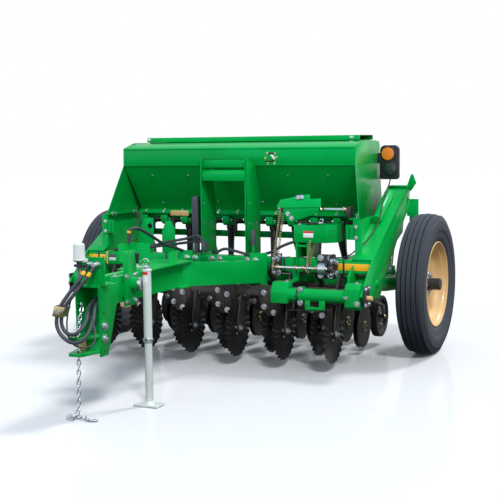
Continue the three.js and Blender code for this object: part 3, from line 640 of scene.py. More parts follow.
def stripGraph():  # one bar repeated at a spacing
    g = Graph("bars in a row", Count="Int", Spacing="Vector", Size="Vector", Finish="Material")
    bar = g.add("GeometryNodeMeshCube", Size=g.inside["Size"])
    line = g.add("GeometryNodeMeshLine", Count=g.inside["Count"], Offset=g.inside["Spacing"])
    start = g.add("GeometryNodeInputPosition")
    corner = g.add("GeometryNodeSampleIndex", {"data_type": "FLOAT_VECTOR"}, Geometry=g.inside["Geometry"],
                   Value=start)
    row = g.add("GeometryNodeSetPosition", Geometry=line, Offset=corner)
    g.close(g.add("GeometryNodeInstanceOnPoints", Points=row, Instance=bar))
    return g


bolts, links, rollers, bars = boltGraph(), linkGraph(), rollerGraph(), stripGraph()


def boltField(name, rows, body, across=24, height=10, finish="zinc"):
    return bolts.run(name, pointMesh(name, rows), body, finish, Across=across * mm, Height=height * mm)


def lineMesh(name, route, loop=False):
    data = bpy.data.meshes.new(name)
    edges = [(i, i + 1) for i in range(len(route) - 1)] + ([(len(route) - 1, 0)] if loop else [])
    data.from_pydata([spot(*p) for p in route], edges, [])
    return data


def lengthOf(route):
    return sum((b - a).length for a, b in zip(route, route[1:]))


# cords at the hitch: the same routes as the part's own tubes
lines = {
    "hoseRadius": 11.5, "cableRadius": 5, "chainHalf": 15, "chainWire": 4.2, "chainPitch": 29, "linkHalf": 10.2,
    "hoseA": [
        (32, -1704.3, 935), (32, -1735, 935), (29, -1768, 912), (20, -1808, 864), (-8, -1840, 813),
        (-38, -1866, 763), (-63, -1890, 715), (-80, -1905, 670), (-87, -1914, 626), (-83, -1919, 586),
        (-65, -1922, 550), (-34, -1922, 518), (6, -1919, 496), (50, -1908, 493), (84, -1884, 516),
        (98, -1848, 560), (94, -1805, 608), (76, -1760, 652), (58, -1712, 688), (54, -1650, 712),
        (52, -1600, 722), (50, -1565, 725), (50, -1541, 725)],
    "hoseB": [
        (79, -1704.3, 935), (79, -1735, 935), (74, -1772, 906), (52, -1803, 856), (22, -1832, 808),
        (-7, -1860, 759), (-34, -1880, 717), (-54, -1893, 673), (-63, -1900, 630), (-60, -1902, 590),
        (-42, -1902, 556), (-10, -1899, 536), (30, -1890, 541), (58, -1866, 570), (62, -1825, 612),
        (44, -1780, 650), (24, -1730, 682), (14, -1670, 704), (10, -1610, 712), (10, -1565, 714),
        (10, -1541, 714)],
    "cable": [
        (-2, -1787, 854.6), (-2, -1787, 838), (-12, -1794, 812), (-28, -1810, 777), (-44, -1822, 733),
        (-54, -1832, 685), (-60, -1842, 632), (-59, -1852, 578), (-42, -1868, 524), (0, -1885, 480),
        (48, -1893, 464), (88, -1890, 462), (118, -1876, 470), (128, -1848, 492), (112, -1812, 524),
        (84, -1778, 566), (46, -1750, 606), (10, -1720, 642), (-16, -1670, 676), (-24, -1610, 695),
        (-24, -1565, 698), (-24, -1541, 698)],
    "chain": [
        (-52, -1700, 683.6), (-52, -1700, 662), (-46, -1722, 628), (-30, -1762, 588), (-12, -1800, 556),
        (-2, -1822, 528), (0, -1826, 490), (0, -1826, 440), (0, -1826, 390), (0, -1828, 310),
        (-1, -1830, 220), (-3, -1833, 130), (-6, -1838, 66), (-22, -1848, 26), (-58, -1852, 16),
        (-84, -1832, 16), (-70, -1806, 16), (-20, -1800, 16), (30, -1806, 16), (52, -1828, 16)],
}


def hosePieces(name, route):
    line = smoothRoute(route, 6)
    hose = piece(name + "_cover", Stock().sweep(line, lines["hoseRadius"], 16), "hose", "frame", 0, 60, [name])
    first, toward = line[0], Vector((0, -1, 0))
    fitting = Stock().turned([(0, 0), (0, 17), (12, 17), (14, 13.5), (30, 13.5), (32, 15.5), (58, 13.6), (58, 0)],
                             first + toward * 1, toward, 24)
    collar = piece(name + "_fitting", fitting, "zinc", "frame", 0, 30)
    at = next(i for i in range(len(line)) if lengthOf(line[:i + 1]) > 92)
    band = piece(name + "_band", Stock().sweep(line[at:at + 5], lines["hoseRadius"] + 1.2, 16), "stripe", "frame", 0, 50)
    metres = [spot(*p) for p in line]
    lengthOf(line) * mm


def makeCords():
    hosePieces("hose_a", lines["hoseA"])
    hosePieces("hose_b", lines["hoseB"])
    outer = [(-110, 644), (-44, 638), (-16, 700), (-90, 708)]
    clamp = Stock().prism(outer, "Y", -1930, -1925).prism(outer, "Y", -1871, -1866)
    clamp.prism([(-110, 644), (-104, 643.5), (-84, 707.5), (-90, 708)], "Y", -1925, -1871)
    clamp.prism([(-50, 638.5), (-44, 638), (-16, 700), (-22, 700.7)], "Y", -1925, -1871)
    piece("hose_clamp_block", clamp, "gold", "frame", 1.2, 30, ["hose_clamp"])
    boltField("hose_clamp_bolt", [((-64, -1930, 674), (0, -1, 0), 1)], "frame", 17, 2.4)
    line = smoothRoute(lines["cable"], 5)
    cable = piece("light_cable_cover", Stock().sweep(line, lines["cableRadius"], 12), "hose", "frame", 0, 60, ["light_cable"])
    plug = Stock().turned([(0, 0), (0, 17), (-9, 17), (-9, 15), (-14, 15), (-14, 18), (-34, 18), (-36, 15), (-36, 0)],
                          (-2, -1787, 954.4), (0, 0, 1), 28)
    plug.turned([(0, 0), (0, 9), (12, 9), (12, 0)], (-33, -1787, 932), (0, 1, 0), 16)
    plug.turned([(0, 0), (0, 9), (12, 9), (12, 0)], (29, -1787, 932), (0, 1, 0), 16)
    plug.box(-33, 29, -1792, -1782, 926, 937)
    body = piece("light_plug_body", plug, "plastic", "frame", 0, 30, ["light_plug"])
    sleeve = Stock().turned([(0, 0), (0, 15), (-40, 12), (-62, 10.5), (-64, 6), (-64, 0)], (-2, -1787, 918.2), (0, 0, 1), 24)
    boot = piece("light_plug_sleeve", sleeve, "chrome", "frame", 0, 30)
    metres = [spot(*p) for p in line]
    lengthOf(line) * mm
    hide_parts("light_plug")
    line = smoothRoute(lines["chain"], 4)
    chain = links.run("safety_chain_links", lineMesh("safety_chain_line", line), "frame", "zinc",
                      Pitch=lines["chainPitch"] * mm, Wire=lines["chainWire"] * mm,
                      Half=lines["linkHalf"] * mm)
    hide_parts("safety_chain")
    end = line[-1]
    bend = [(0, 0), (14, -4), (34, -8), (52, -2), (58, 14), (48, 26), (34, 24)]
    hook = Stock().sweep(smoothRoute([(end.x + u, end.y + v, 9) for u, v in bend], 3), 5.5, 12)
    hook.sweep(smoothRoute([(end.x + 2, end.y, 9), (end.x + 18, end.y + 10, 9), (end.x + 40, end.y + 16, 9)], 3), 2.5, 10)
    snap = piece("safety_chain_hook", hook, "zinc", "frame", 0, 50)
    metres = [spot(*p) for p in line]
    lengthOf(line) * mm


makeCords()
print("cords made")


# sheet and tube steel kept in its own shape, edges eased
def makeSteel():
    for name in ("opener_bar", "tongue", "hitch", "hose_holder"):
        softened(name, "green", 2.2)
    softened("front_toolbar", "green", 7, 3)
    softened("coulter_gang", "charcoal", 2.0)
    softened("seed_box", "green", 1.2, 1)
    softened("lid", "green", 3.0, 3)
    for s, side in sides:
        x0, x1, x2, x3 = sorted((s * 500, s * 645)) + sorted((s * 1070, s * 1196))
        bevels = Stock().prism([(-125, 553), (-125, 660), (-57, 660)], "X", x0, x1)
        bevels.prism([(-125, 604), (-125, 670), (-66, 670)], "X", x2, x3)
        bevels.prism([(-125, 460), (-125, 506), (-74, 460)], "X", x2, x3)
        softened("end_frame_" + side, "green", 1.8, cutter=bevels)
        softened("wheel_arm_" + side, "green", 2.0)
        holes = Stock()
        for column in (-18, 18):
            for row in range(5):
                x, z = s * 1030 + column, 1024 - row * 18
                holes.rod((x, 175, z), (x, 195, z), 5.5, 16)
        softened("end_panel_" + side, "green", 1.0, 1, cutter=holes)
        # painted shade: a black sheet set just behind the drilled holes so that they show the dark of a shaded hollow
        holeShadeSheet = Stock().box(s * 1030 - 28, s * 1030 + 28, 193, 197, 940, 1036)
        piece("panel_hole_shade_" + side, holeShadeSheet, "plastic", "frame", 0)


makeSteel()
print("steel made")

# end wheels
endWheel = {
    "x": 1393, "y": 908, "radius": 545, "half": 110, "ribCount": 5, "ribPitch": 37, "ribHalf": 14.2,
    "groove": 12, "crown": 13, "boltCircle": 78, "bolts": 8, "turns": 176,
}


def treadOutline():
    w = endWheel
    edge = w["ribPitch"] * (w["ribCount"] - 1) / 2
    outline = []
    for k in range(w["ribCount"]):
        centre = -edge + k * w["ribPitch"]
        top = w["radius"] - w["crown"] * (centre / edge) ** 2
        low = top - w["groove"]
        h = w["ribHalf"]
        outline += [(centre - h - 3, low), (centre - h, top - 1.5), (centre - h + 1.5, top),
                    (centre + h - 1.5, top), (centre + h, top - 1.5), (centre + h + 3, low)]
    wall = [(93, 516), (101, 503), (103, 497), (107, 492), (110, 462), (108, 430), (104, 408), (101, 404),
            (99, 380), (92, 352), (84, 337), (78, 331)]
    return [(-a, r) for a, r in reversed(wall)] + outline + wall


def makeEndWheels():
    w = endWheel
    for s, side in sides:
        body = "wheel_" + side
        centre = (s * w["x"], w["y"], w["radius"])
        tyre = Stock().turned(treadOutline(), centre, (1, 0, 0), w["turns"])
        piece("tyre_" + side + "_ribbed", tyre, "tyre", body, 0, 28, ["tyre_" + side])
        dish = [(-84, 329), (-78, 322), (-70, 318), (-62, 302), (-30, 292), (-26, 262), (-27, 150), (-20, 104), (-38, 84),
                (-38, 30), (12, 30), (12, 96), (4, 108), (-14, 150), (-13, 262), (-4, 282), (30, 292), (44, 294), (50, 306),
                (64, 309), (72, 316), (82, 317), (87, 321), (88, 327), (84, 331)]
        rim = Stock().turned([(s * a, r) for a, r in dish], centre, (1, 0, 0), 128)
        piece("rim_" + side + "_dish", rim, "cream", body, 0, 30, ["rim_" + side])
        rows = []
        for k in range(w["bolts"]):
            t = 2 * math.pi * k / w["bolts"]
            spoke = Vector((0, math.cos(t), math.sin(t))) * w["boltCircle"]
            rows.append((Vector(centre) + spoke + Vector((s * 12, 0, 0)), (s, 0, 0), 1))
        boltField("wheel_bolts_" + side, rows, body, 22, 11, "zinc")
        hub = [(12.6, 0), (12.6, 60), (18, 60), (22, 47), (60, 46), (64, 45.6), (104, 45), (109.6, 40), (109.8, 0)]
        cap = Stock().turned([(s * a, r) for a, r in hub], centre, (1, 0, 0), 48)
        piece("hub_cap_" + side, cap, "plastic", "arm_" + side, 0, 30)
        stem = Stock().rod((s * 1161, w["y"], w["radius"]), (s * 1301, w["y"], w["radius"]), 41, 40)
        piece("axle_sleeve_" + side, stem, "green", "arm_" + side, 1, 30)
        valve = Stock().rod(Vector(centre) + Vector((s * 26, 0, 292)), Vector(centre) + Vector((s * 52, 0, 270)), 5, 12)
        piece("valve_" + side, valve, "plastic", body, 0, 30)


makeEndWheels()
print("end wheels made")

# wavy coulter blades
coulter = {
    "radius": 216, "z": 273, "frontY": 0, "rearY": 238, "waves": 25, "swing": 7.0, "half": 2.0,
    "flat": 96, "turns": 200, "hubRadius": 62, "bolts": 5, "boltCircle": 44,
}


def bladeStock(i):
    c = coulter
    y = rowY(c, i)
    radii = [20, 60, c["flat"], 120, 146, 172, 198, 210, c["radius"] - 0.6]
    stock, points, faces = Stock(), [], []
    n = c["turns"]
    for face in (1, -1):
        for r in radii:
            grow = max(0, min(1, (r - c["flat"]) / 90))
            half = c["half"] if r < 205 else c["half"] * (1 - (r - 205) / 14)
            for k in range(n):
                t = 2 * math.pi * k / n
                wave = c["swing"] * grow * math.sin(c["waves"] * t + 2.2 * (r - 96) / 120)
                edge = r - (7.0 * (0.5 + 0.5 * math.sin(c["waves"] * t + 2.2)) if r > 205 else 0)
                points.append((rowX(i) + face * half + wave, y + edge * math.cos(t), c["z"] + edge * math.sin(t)))
    for side in (0, 1):
        for ring in range(len(radii) - 1):
            first = (side * len(radii) + ring) * n
            for k in range(n):
                m = (k + 1) % n
                faces.append([first + k, first + m, first + n + m, first + n + k])
    inner, outer = len(radii) * n, (len(radii) - 1) * n
    for k in range(n):
        m = (k + 1) % n
        faces += [[k, m, inner + m, inner + k], [outer + k, outer + m, inner + outer + m, inner + outer + k]]
    stock.add(points, faces)
    hub = [(-9, 20), (-9, 30), (-7, 34), (-4.5, c["hubRadius"]), (4.5, c["hubRadius"]), (7, 34), (9, 30), (9, 20)]
    stock.turned(hub, (rowX(i), y, c["z"]), (1, 0, 0), 40)
    return stock


def makeBlades():
    c = coulter
    for i in rowNumbers:
        body = f"blade_{i:02d}"
        y = rowY(c, i)
        piece(body + "_wavy", bladeStock(i), "blade", body, 0, 40, [f"coulter_blade_{i:02d}"])
        rows = []
        for k in range(c["bolts"]):
            t = 2 * math.pi * (k + 0.3) / c["bolts"]
            for side in (-1, 1):
                place = (rowX(i) + side * 4.5, y + c["boltCircle"] * math.cos(t), c["z"] + c["boltCircle"] * math.sin(t))
                rows.append((place, (side, 0, 0), 1))
        boltField(body + "_bolts", rows, body, 15, 4.6, "zinc")


makeBlades()
print("blades made")

# clamps and spindle nuts of the coulters
gang = {
    "upperX": (-212, -28), "upperZ": (452, 604), "lowerX": (-184, -112), "lowerZ": (372, 560), "nearX": (-112, -58),
    "boltAcross": 25,
}


def makeGang():
    rows, low = [], Stock()
    upper = Stock()
    g = gang
    for i in rowNumbers:
        x = rowX(i)
        y = rowY(coulter, i)
        face = y + 34.6
        (x0, x1), (z0, z1) = g["upperX"], g["upperZ"]
        corner = 34
        upper.prism([(x + x0, z1), (x + x0, z0 + 20), (x + x0 + 14, z0), (x + x1 - corner, z0), (x + x1, z0 + corner),
                     (x + x1, z1)], "Y", face - 8, face)
        (x0, x1), (z0, z1) = g["lowerX"], g["lowerZ"]
        low.prism([(x + x0, z1), (x + x0, z0 + 40), (x + x0 + 30, z0 + 4), (x + x1, z0 + 4), (x + x1, z1)],
                  "Y", face - 15, face - 8.2)
        x0, x1 = g["nearX"]
        low.prism([(x + x0, z1 - 10), (x + x0, z0), (x + x0 + 26, z0), (x + x1, z0 + 30), (x + x1, z1 - 44),
                   (x + x1 - 30, z1 - 10)], "Y", face - 15, face - 8.2)
        for dx, bz in ((-172, 548), (-94, 520), (-170, 442), (-94, 402)):
            rows.append(((x + dx, face - 15, bz), (0, -1, 0), 1))
        rows.append(((x + 24.2, y, coulter["z"]), (1, 0, 0), 1.3))
        rows.append(((x + 24.2, y + 78, 512), (1, 0, 0), 0.8))
        rows.append(((x + 24.2, y + 58, 545), (1, 0, 0), 0.8))
    piece("coulter_clamps_upper", upper, "charcoal", "frame", 1.5)
    piece("coulter_clamps_lower", low, "charcoal", "frame", 1.5)
    boltField("coulter_bolts", rows, "frame", g["boltAcross"], 12)
    ends = Stock()
    for y in (coulter["frontY"] + 70, coulter["rearY"] + 70):
        for s in (-1, 1):
            ends.box(s * 1045, s * 1047, y - 30, y + 30, 525, 585)
    piece("bar_end_caps", ends, "plastic", "frame", 0.8)


makeGang()

# openers: arm, boot, disc pair, hub, press wheel bracket and its spring
opener = {
    "frontY": 644, "rearY": 810, "discZ": 226, "discR": 165, "barBack": 490.3, "pressBack": 437,
    "pressZ": 240, "pressR": 168, "pressHalf": 30, "turns": 96,
}


def makeOpeners():
    o = opener
    arms, discs, brackets, springs, rows = Stock(), Stock(), Stock(), Stock(), []
    for i in rowNumbers:
        x = rowX(i)
        y = rowY(o, i)
        back = o["barBack"]
        py = y + o["pressBack"]
        for t in (-1, 1):
            beam = [(back, 650), (y - 60, 470), (y + 70, 440), (y + 70, 400), (y - 60, 400), (back, 570)]
            arms.prism(beam, "X", x + t * 24, x + t * 17)
        arms.box(x - 17, x + 17, back, back + 10, 572, 648)
        arms.box(x - 17, x + 17, y - 40, y + 60, 402, 410)
        arms.prism([(y - 30, 405), (y + 70, 405), (y + 30, 210), (y - 20, 210)], "X", x - 7, x + 7)
        for t in (-1, 1):
            plate = [(0, 20), (0, 60), (1.5, o["discR"] * 0.6), (1.0, o["discR"] - 1), (-1.2, o["discR"] - 1),
                     (-1.8, o["discR"] * 0.6), (-1.8, 20)]
            discs.turned([(a + t * 17, r) for a, r in plate], (x, y, o["discZ"]), (1, 0, 0), o["turns"])
            hub = [(t * 16, 0), (t * 16, 44), (t * 22, 40), (t * 24, 24), (t * 25, 0)]
            discs.turned(hub, (x, y, o["discZ"]), (1, 0, 0), 32)
            for k in range(6):
                turn = 2 * math.pi * k / 6
                place = (x + t * 21, y + 32 * math.cos(turn), o["discZ"] + 32 * math.sin(turn))
                rows.append((place, (t, 0, 0), 0.62))
        armX = x + o["pressHalf"] + 6
        bracket = [(y + 20, 438), (y + 20, 402), (py - 60, 330), (py - 22, 222)]
        bracket += arc(py, o["pressZ"], 22, 200, 340, 8)
        bracket += [(py + 10, 330), (y + 80, 438)]
        brackets.prism(bracket, "X", armX, armX + 9)
        brackets.box(x + 20, armX + 9, y + 20, y + 50, 405, 435)
        brackets.rod((x - o["pressHalf"] - 8, py, o["pressZ"]), (armX + 1, py, o["pressZ"]), 10.6, 20)
        rows.append(((armX + 9, py, o["pressZ"]), (1, 0, 0), 0.9))
        rows.append(((armX + 9, y + 40, 420), (1, 0, 0), 0.8))
        rows.append(((x + 24, y + 30, 425), (1, 0, 0), 0.9))
        springLine = []
        low, high = Vector((x, y + 10, 412)), Vector((x, back + 26, 600))
        axis = high - low
        turn = along(axis)
        for k in range(8 * 14 + 1):
            t = 2 * math.pi * k / 14
            springLine.append(low + axis * (k / 112) + turn @ Vector((12 * math.cos(t), 12 * math.sin(t), 0)))
        springs.sweep(springLine, 2.6, 6)
    arms.box(rowX(1) - 25, rowX(11) + 25, o["barBack"], o["barBack"] + 12, 620, 645)
    piece("opener_arms", arms, "green", "frame", 1.5, 34, ["openers"])
    piece("opener_discs", discs, "blade", "frame", 0, 34, ["openers"])
    piece("press_brackets", brackets, "plastic", "frame", 1.0, 34, ["openers"])
    piece("opener_springs", springs, "charcoal", "frame", 0, 50, ["openers"])
    boltField("opener_bolts", rows, "frame", 22, 9, "gold")


makeOpeners()


def makePressWheels():
    o = opener
    h, r = o["pressHalf"], o["pressR"]
    tyreSection = [(-h, r - 8), (-h + 4, r - 1), (-8, r), (-5, r - 4), (5, r - 4), (8, r), (h - 4, r - 1), (h, r - 8),
                   (h - 1, r - 26), (h - 8, r - 42), (8, r - 46), (-8, r - 46), (-h + 8, r - 42), (-h + 1, r - 26)]
    discSection = [(-20, 11.6), (-20, 26), (-12, 30), (-6, 60), (-9, 112), (-5, r - 44), (5, r - 44), (9, 112),
                   (6, 60), (12, 30), (20, 26), (20, 11.6)]
    for i in rowNumbers:
        y = rowY(o, i) + o["pressBack"]
        body = f"press_{i:02d}"
        centre = (rowX(i), y, o["pressZ"])
        node = f"press_wheel_{i:02d}"
        piece(body + "_tyre", Stock().turned(tyreSection, centre, (1, 0, 0), 80), "press", body, 0, 30, [node])
        piece(body + "_disc", Stock().turned(discSection, centre, (1, 0, 0), 64), "disc", body, 0, 30, [node])
        rows = []
        for k in range(6):
            t = 2 * math.pi * k / 6
            place = (rowX(i) + 7.4, y + 88 * math.cos(t), o["pressZ"] + 88 * math.sin(t))
            rows.append((place, (1, 0, 0), 1))
        boltField(body + "_bolts", rows, body, 12, 5)


makePressWheels()
print("ground work made")

# seed meters and tubes under the hopper
meters = {"z0": 985, "z1": 1045, "y0": 640, "y1": 760, "half": 45, "tube": 33}


def makeMeters():
    m = meters
    header = Stock().box(-1000, 1000, 660, 748, 1040, 1107.6)
    header.box(-1000, 1000, 768, 778, 884, 936)
    for s in (-1, 1):
        header.box(*sorted((s * 992, s * 1000)), 660, 778, 884, 1050)
    cups, tubes, dark, rows = Stock(), Stock(), Stock(), []
    dark.rod((-996, 700, 1012), (996, 700, 1012), 14, 20)
    for i in rowNumbers:
        x = rowX(i)
        y = rowY(opener, i) + 46
        shape = [(m["y0"], m["z1"]), (m["y0"], m["z0"] + 18), (m["y0"] + 26, m["z0"]), (m["y1"] - 26, m["z0"]),
                 (m["y1"], m["z0"] + 18), (m["y1"], m["z1"])]
        cups.prism(shape, "X", x - m["half"], x + m["half"])
        cups.rod((x - 48, 700, 1012), (x + 48, 700, 1012), 17, 24)
        route = smoothRoute([(x, 700, 990), (x, 704, 900), (x, (705 + y) / 2, 760), (x, y, 620), (x, y, 522)], 7)
        tubes.sweep(route, [m["tube"] - (4.5 if k % 2 else 0) - 13 * k / len(route) for k in range(len(route))], 20)
        cups.box(x - 30, x + 30, 606, 640, 1004, 1064)
        dark.turned([(0, 0), (0, 31), (8, 34), (30, 34), (34, 29), (34, 0)], (x, 700, 952), (0, 0, 1), 28)
        dark.rod((x + 52, 640, 1030), (x + 136, 640, 1030), 12, 14)
        dark.box(x + 60, x + 84, 628, 652, 930, 1040)
        rows.append(((x - 30, m["y0"], m["z0"] + 44), (0, -1, 0), 1))
        rows.append(((x + 30, m["y0"], m["z0"] + 44), (0, -1, 0), 1))
    piece("meter_header", header, "green", "frame", 2, 34, ["seed_meters"])
    piece("meter_cups", cups, "green", "frame", 1.6, 34, ["seed_meters"])
    piece("seed_tubes", tubes, "plastic", "frame", 0, 26, ["seed_meters"])
    piece("meter_fittings", dark, "plastic", "frame", 1.5, 30, ["seed_meters"])
    boltField("meter_bolts", rows, "frame", 12, 5)


makeMeters()

# seed drive: shafts, sprockets, roller chains, coupler and bearing plates
driveLine = {
    "shaftY": 216, "shaftZ": 1158, "lowY": 60, "lowZ": 735, "coverY": 150, "coverZ": 950,
    "pitch": 15.9,
}


def sprocket(stock, x, y, z, radius, teeth, half):
    outline = []
    for k in range(teeth * 4):
        t = 2 * math.pi * k / (teeth * 4)
        r = radius + (3.6 if k % 4 in (1, 2) else -3.2)
        outline.append((y + r * math.cos(t), z + r * math.sin(t)))
    stock.prism(outline, "X", x - half, x + half)
    stock.rod((x - 15, y, z), (x + 15, y, z), radius * 0.52, 24)


def chainRoute(x, ya, za, ra, yb, zb, rb):
    a, b = Vector((ya, za)), Vector((yb, zb))
    heading = (b - a).normalized()
    base = math.degrees(math.atan2(heading.y, heading.x))
    lower = arc(ya, za, ra, base + 90, base + 270, 14)
    upper = arc(yb, zb, rb, base - 90, base + 90, 14)
    return [(x, y, z) for y, z in lower + upper]


def makeDrive():
    d = driveLine
    steel, gold, wheels, plates, rows = Stock(), Stock(), Stock(), Stock(), []
    upper, lower = (d["shaftY"], d["shaftZ"]), (d["lowY"], d["lowZ"])
    steel.rod((440, *upper), (1008, *upper), 12, 6)
    steel.rod((445, *lower), (925, *lower), 13, 28)
    steel.rod((735, d["coverY"], d["coverZ"]), (765, d["coverY"], d["coverZ"]), 12, 24)
    for x, r, w in ((772, 22, 13), (520, 19, 9), (700, 19, 9), (960, 20, 10), (456, 20, 9)):
        gold.turned([(-w, 12), (-w, r - 2), (-w + 2, r), (w - 2, r), (w, r - 2), (w, 12)], (x, *upper), (1, 0, 0), 32)
    for x in (496, 640, 700, 800):
        gold.turned([(-9, 13), (-9, 19), (-7, 21), (7, 21), (9, 19), (9, 13)], (x, *lower), (1, 0, 0), 32)
    cup = [(-29, 13), (-29, 24), (-22, 26), (-20, 38), (-17, 42), (-5, 42), (-4, 34), (4, 34), (5, 42), (17, 42), (20, 38),
           (22, 26), (29, 24), (29, 13)]
    steel.turned(cup, (851, *lower), (1, 0, 0), 56)
    for k in range(6):
        t = 2 * math.pi * k / 6
        steel.rod((825, d["lowY"] + 36 * math.cos(t), d["lowZ"] + 36 * math.sin(t)),
                  (877, d["lowY"] + 36 * math.cos(t), d["lowZ"] + 36 * math.sin(t)), 5, 12)
    loops = ((470, *lower, 34, *upper, 30), (735, *lower, 30, d["coverY"], d["coverZ"], 26))
    for n, loop in enumerate(loops):
        x, ya, za, ra, yb, zb, rb = loop
        sprocket(wheels, x, ya, za, ra, round(2 * math.pi * ra / d["pitch"]), 3)
        sprocket(wheels, x, yb, zb, rb, round(2 * math.pi * rb / d["pitch"]), 3)
        links = rollers.run(f"drive_chain_{n}", lineMesh("chain_line", chainRoute(*loop), True), "frame", "gold",
                            Pitch=d["pitch"] * mm)
        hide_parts("drive_train")
    for x in (452, 905):
        outline = [(36, 690), (36, 824), (51, 839), (129.7, 839), (129.7, 675), (51, 675)]
        plates.prism(outline, "X", x, x + 12)
        plates.box(x - 20, x + 35, 118, 129.7, 690, 796)
        plates.turned([(-12, 13), (-12, 30), (0, 36), (12, 36), (24, 30), (24, 13)], (x, *lower), (1, 0, 0), 36)
        for dy, dz in ((-14, -36), (34, -36), (-14, 60), (34, 60)):
            rows.append(((x + 12, d["lowY"] + dy + 4, d["lowZ"] + dz), (1, 0, 0), 0.95))
        for bx, bz in ((x - 12, 708), (x - 12, 780), (x + 27, 708), (x + 27, 780)):
            rows.append(((bx, 118, bz), (0, -1, 0), 0.8))
    plates.box(757, 765, 140, 215.7, 940, 960)
    square = Stock().box(985, 1009, 190, 290, 1098, 1180)
    piece("drive_shafts", steel, "chrome", "frame", 0, 30, ["drive_train"])
    piece("drive_collars", gold, "gold", "frame", 0, 30, ["drive_train"])
    piece("drive_sprockets", wheels, "zinc", "frame", 0, 30, ["drive_train"])
    piece("bearing_plates", plates, "plastic", "frame", 1.2, 34, ["drive_train"])
    piece("shaft_end_bracket", square, "charcoal", "frame", 3, 34, ["drive_train"])
    boltField("drive_bolts", rows, "frame", 26, 12)
    plates = Stock().box(430, 505, 112, 129.4, 664, 832)
    plates.box(793, 927, 112, 129.4, 656, 836)
    piece("shaft_clamps", plates, "plastic", "frame", 3, 34)
    rows = [((x, 112, z), (0, -1, 0), 1) for x in (815, 892) for z in (684, 811)]
    boltField("shaft_clamp_bolts", rows + [((480, 112, 691), (0, -1, 0), 1), ((480, 112, 811), (0, -1, 0), 1)],
              "frame", 27, 11)
    face = Stock().turned([(0, 0), (0, 36), (3, 34), (4, 14), (4, 0)], (875, *lower), (1, 0, 0), 48)
    piece("coupler_face", face, "gold", "frame", 0, 30)
    drum = Stock().turned([(-32, 13), (-32, 40), (-29, 43), (23, 43), (25, 40), (25, 13)], (851, *lower), (1, 0, 0), 56)
    piece("coupler_drum", drum, "zinc", "frame", 0, 30)


makeDrive()
print("drive made")

# chain shield, gear cover and its stand
guard = {
    "y": 172, "thick": 4, "coverX": (604, 858), "coverY": (112, 330), "coverZ": (918, 1048), "slope": 60,
    "holes": ((0.3, 1000), (0.72, 1006), (0.3, 962), (0.72, 966)), "label": (680, 758),
}


def makeGuards():
    g = guard
    y, t = g["y"], g["thick"]
    shield = Stock().prism([(500, 1178), (498, 1140), (526, 1064), (540, 1054), (774, 1134), (784, 1182)], "Y", y, y + t)
    flange = [(445, y - 12, 1172), (464, y + 20, 1226), (688, y + 36, 1270), (700, y + 32, 1262), (704, y + 18, 1234),
              (786, y + 22, 1240), (795, y + 2, 1184), (784, y - 4, 1176), (500, y - 10, 1168)]
    shield.sheet(flange, (0, 4, -2))
    shield.prism([(y, 1060), (y, 1160), (y + 10, 1174), (540, 1170), (560, 1146), (262, 1080)], "X", 497, 502)
    shield.prism([(y + 6, 1190), (y + 16, 1216), (500, 1226), (530, 1190)], "X", 640, 648)
    piece("chain_shield", shield, "green", "frame", 1.4, 34, ["drive_guards"])
    (x0, x1), (y0, y1), (z0, z1) = g["coverX"], g["coverY"], g["coverZ"]
    cover = Stock().prism([(x0, y0), (x1, y0), (x1 + g["slope"], y0 + 62), (x1 + g["slope"], y1), (x0, y1)], "Z", z0, z1)
    cover.box(x0 - 10, x0, y0 + 2, y0 + 6, z1 - 12, z1)
    for x in (628, 716):
        cover.prism([(86, z0), (86, 700), (104, 668), (129.4, 668), (129.4, 800), (300, 806), (300, z0)], "X", x, x + 8)
        cover.box(x - 8, x + 30, 236, 300, 797.6, 806)
    cover.box(628, 724, 96, 104, 886, 902)
    cover.box(636, 716, 262, 268, 806, z0)
    piece("gear_cover", cover, "green", "frame", 2.2, 34, ["drive_guards"])
    # painted shade: thin black discs on the cover's sloped face where its holes are, standing in for the dark inside
    # them
    holeShade = Stock()
    for along_, z in g["holes"]:
        place = Vector((x1 + g["slope"] * along_, y0 + 62 * along_, z))
        holeShade.rod(place, place + Vector((0.72, -0.70, 0)) * 0.8, 5.5, 20)
    piece("cover_hole_shade", holeShade, "plastic", "frame", 0, 30)
    a, b = g["label"]
    piece("cover_label_lower", Stock().box(a, b, y0 - 1.4, y0, 956, 988), "white", "frame", 0.4)
    piece("cover_label_upper", Stock().box(a, b, y0 - 1.4, y0, 988.6, 1003), "red", "frame", 0.4)
    piece("cover_lever", Stock().rod((702, y0 + 8, 1056), (802, y0 + 4, 1062), 8, 20), "plastic", "frame", 2, 30)
    knob = Stock().rod((800, y0 + 4, 1062), (836, y0 + 2, 1065), 9, 20)
    knob.sweep(smoothRoute([(828, y0 + 2, 1063), (834, y0 + 2, 1083), (822, y0 + 2, 1093), (808, y0 + 2, 1087)], 3), 4, 10)
    piece("cover_knob", knob, "zinc", "frame", 1, 30)
    facing = Vector((0, -0.85, 0.5)).normalized()
    rows = [((609, y + 20, 1244), facing, 1), ((637, y + 21, 1247), facing, 1), ((535, y, 1123), (0, -1, 0), 1),
            ((563, y, 1090), (0, -1, 0), 1), ((650, y0 + 10, 1048), (0, 0, 1), 0.8)]
    boltField("shield_bolts", rows, "frame", 20, 11)


makeGuards()

# mast: two folded uprights, a channel across them and a sheet set back above it
mastSize = {"front": 180, "z0": 797.8, "z1": 1531, "plates": ((-200, -194, -200, -188), (186, 192, 178, 192)),
            "holes": (1036, 1190)}


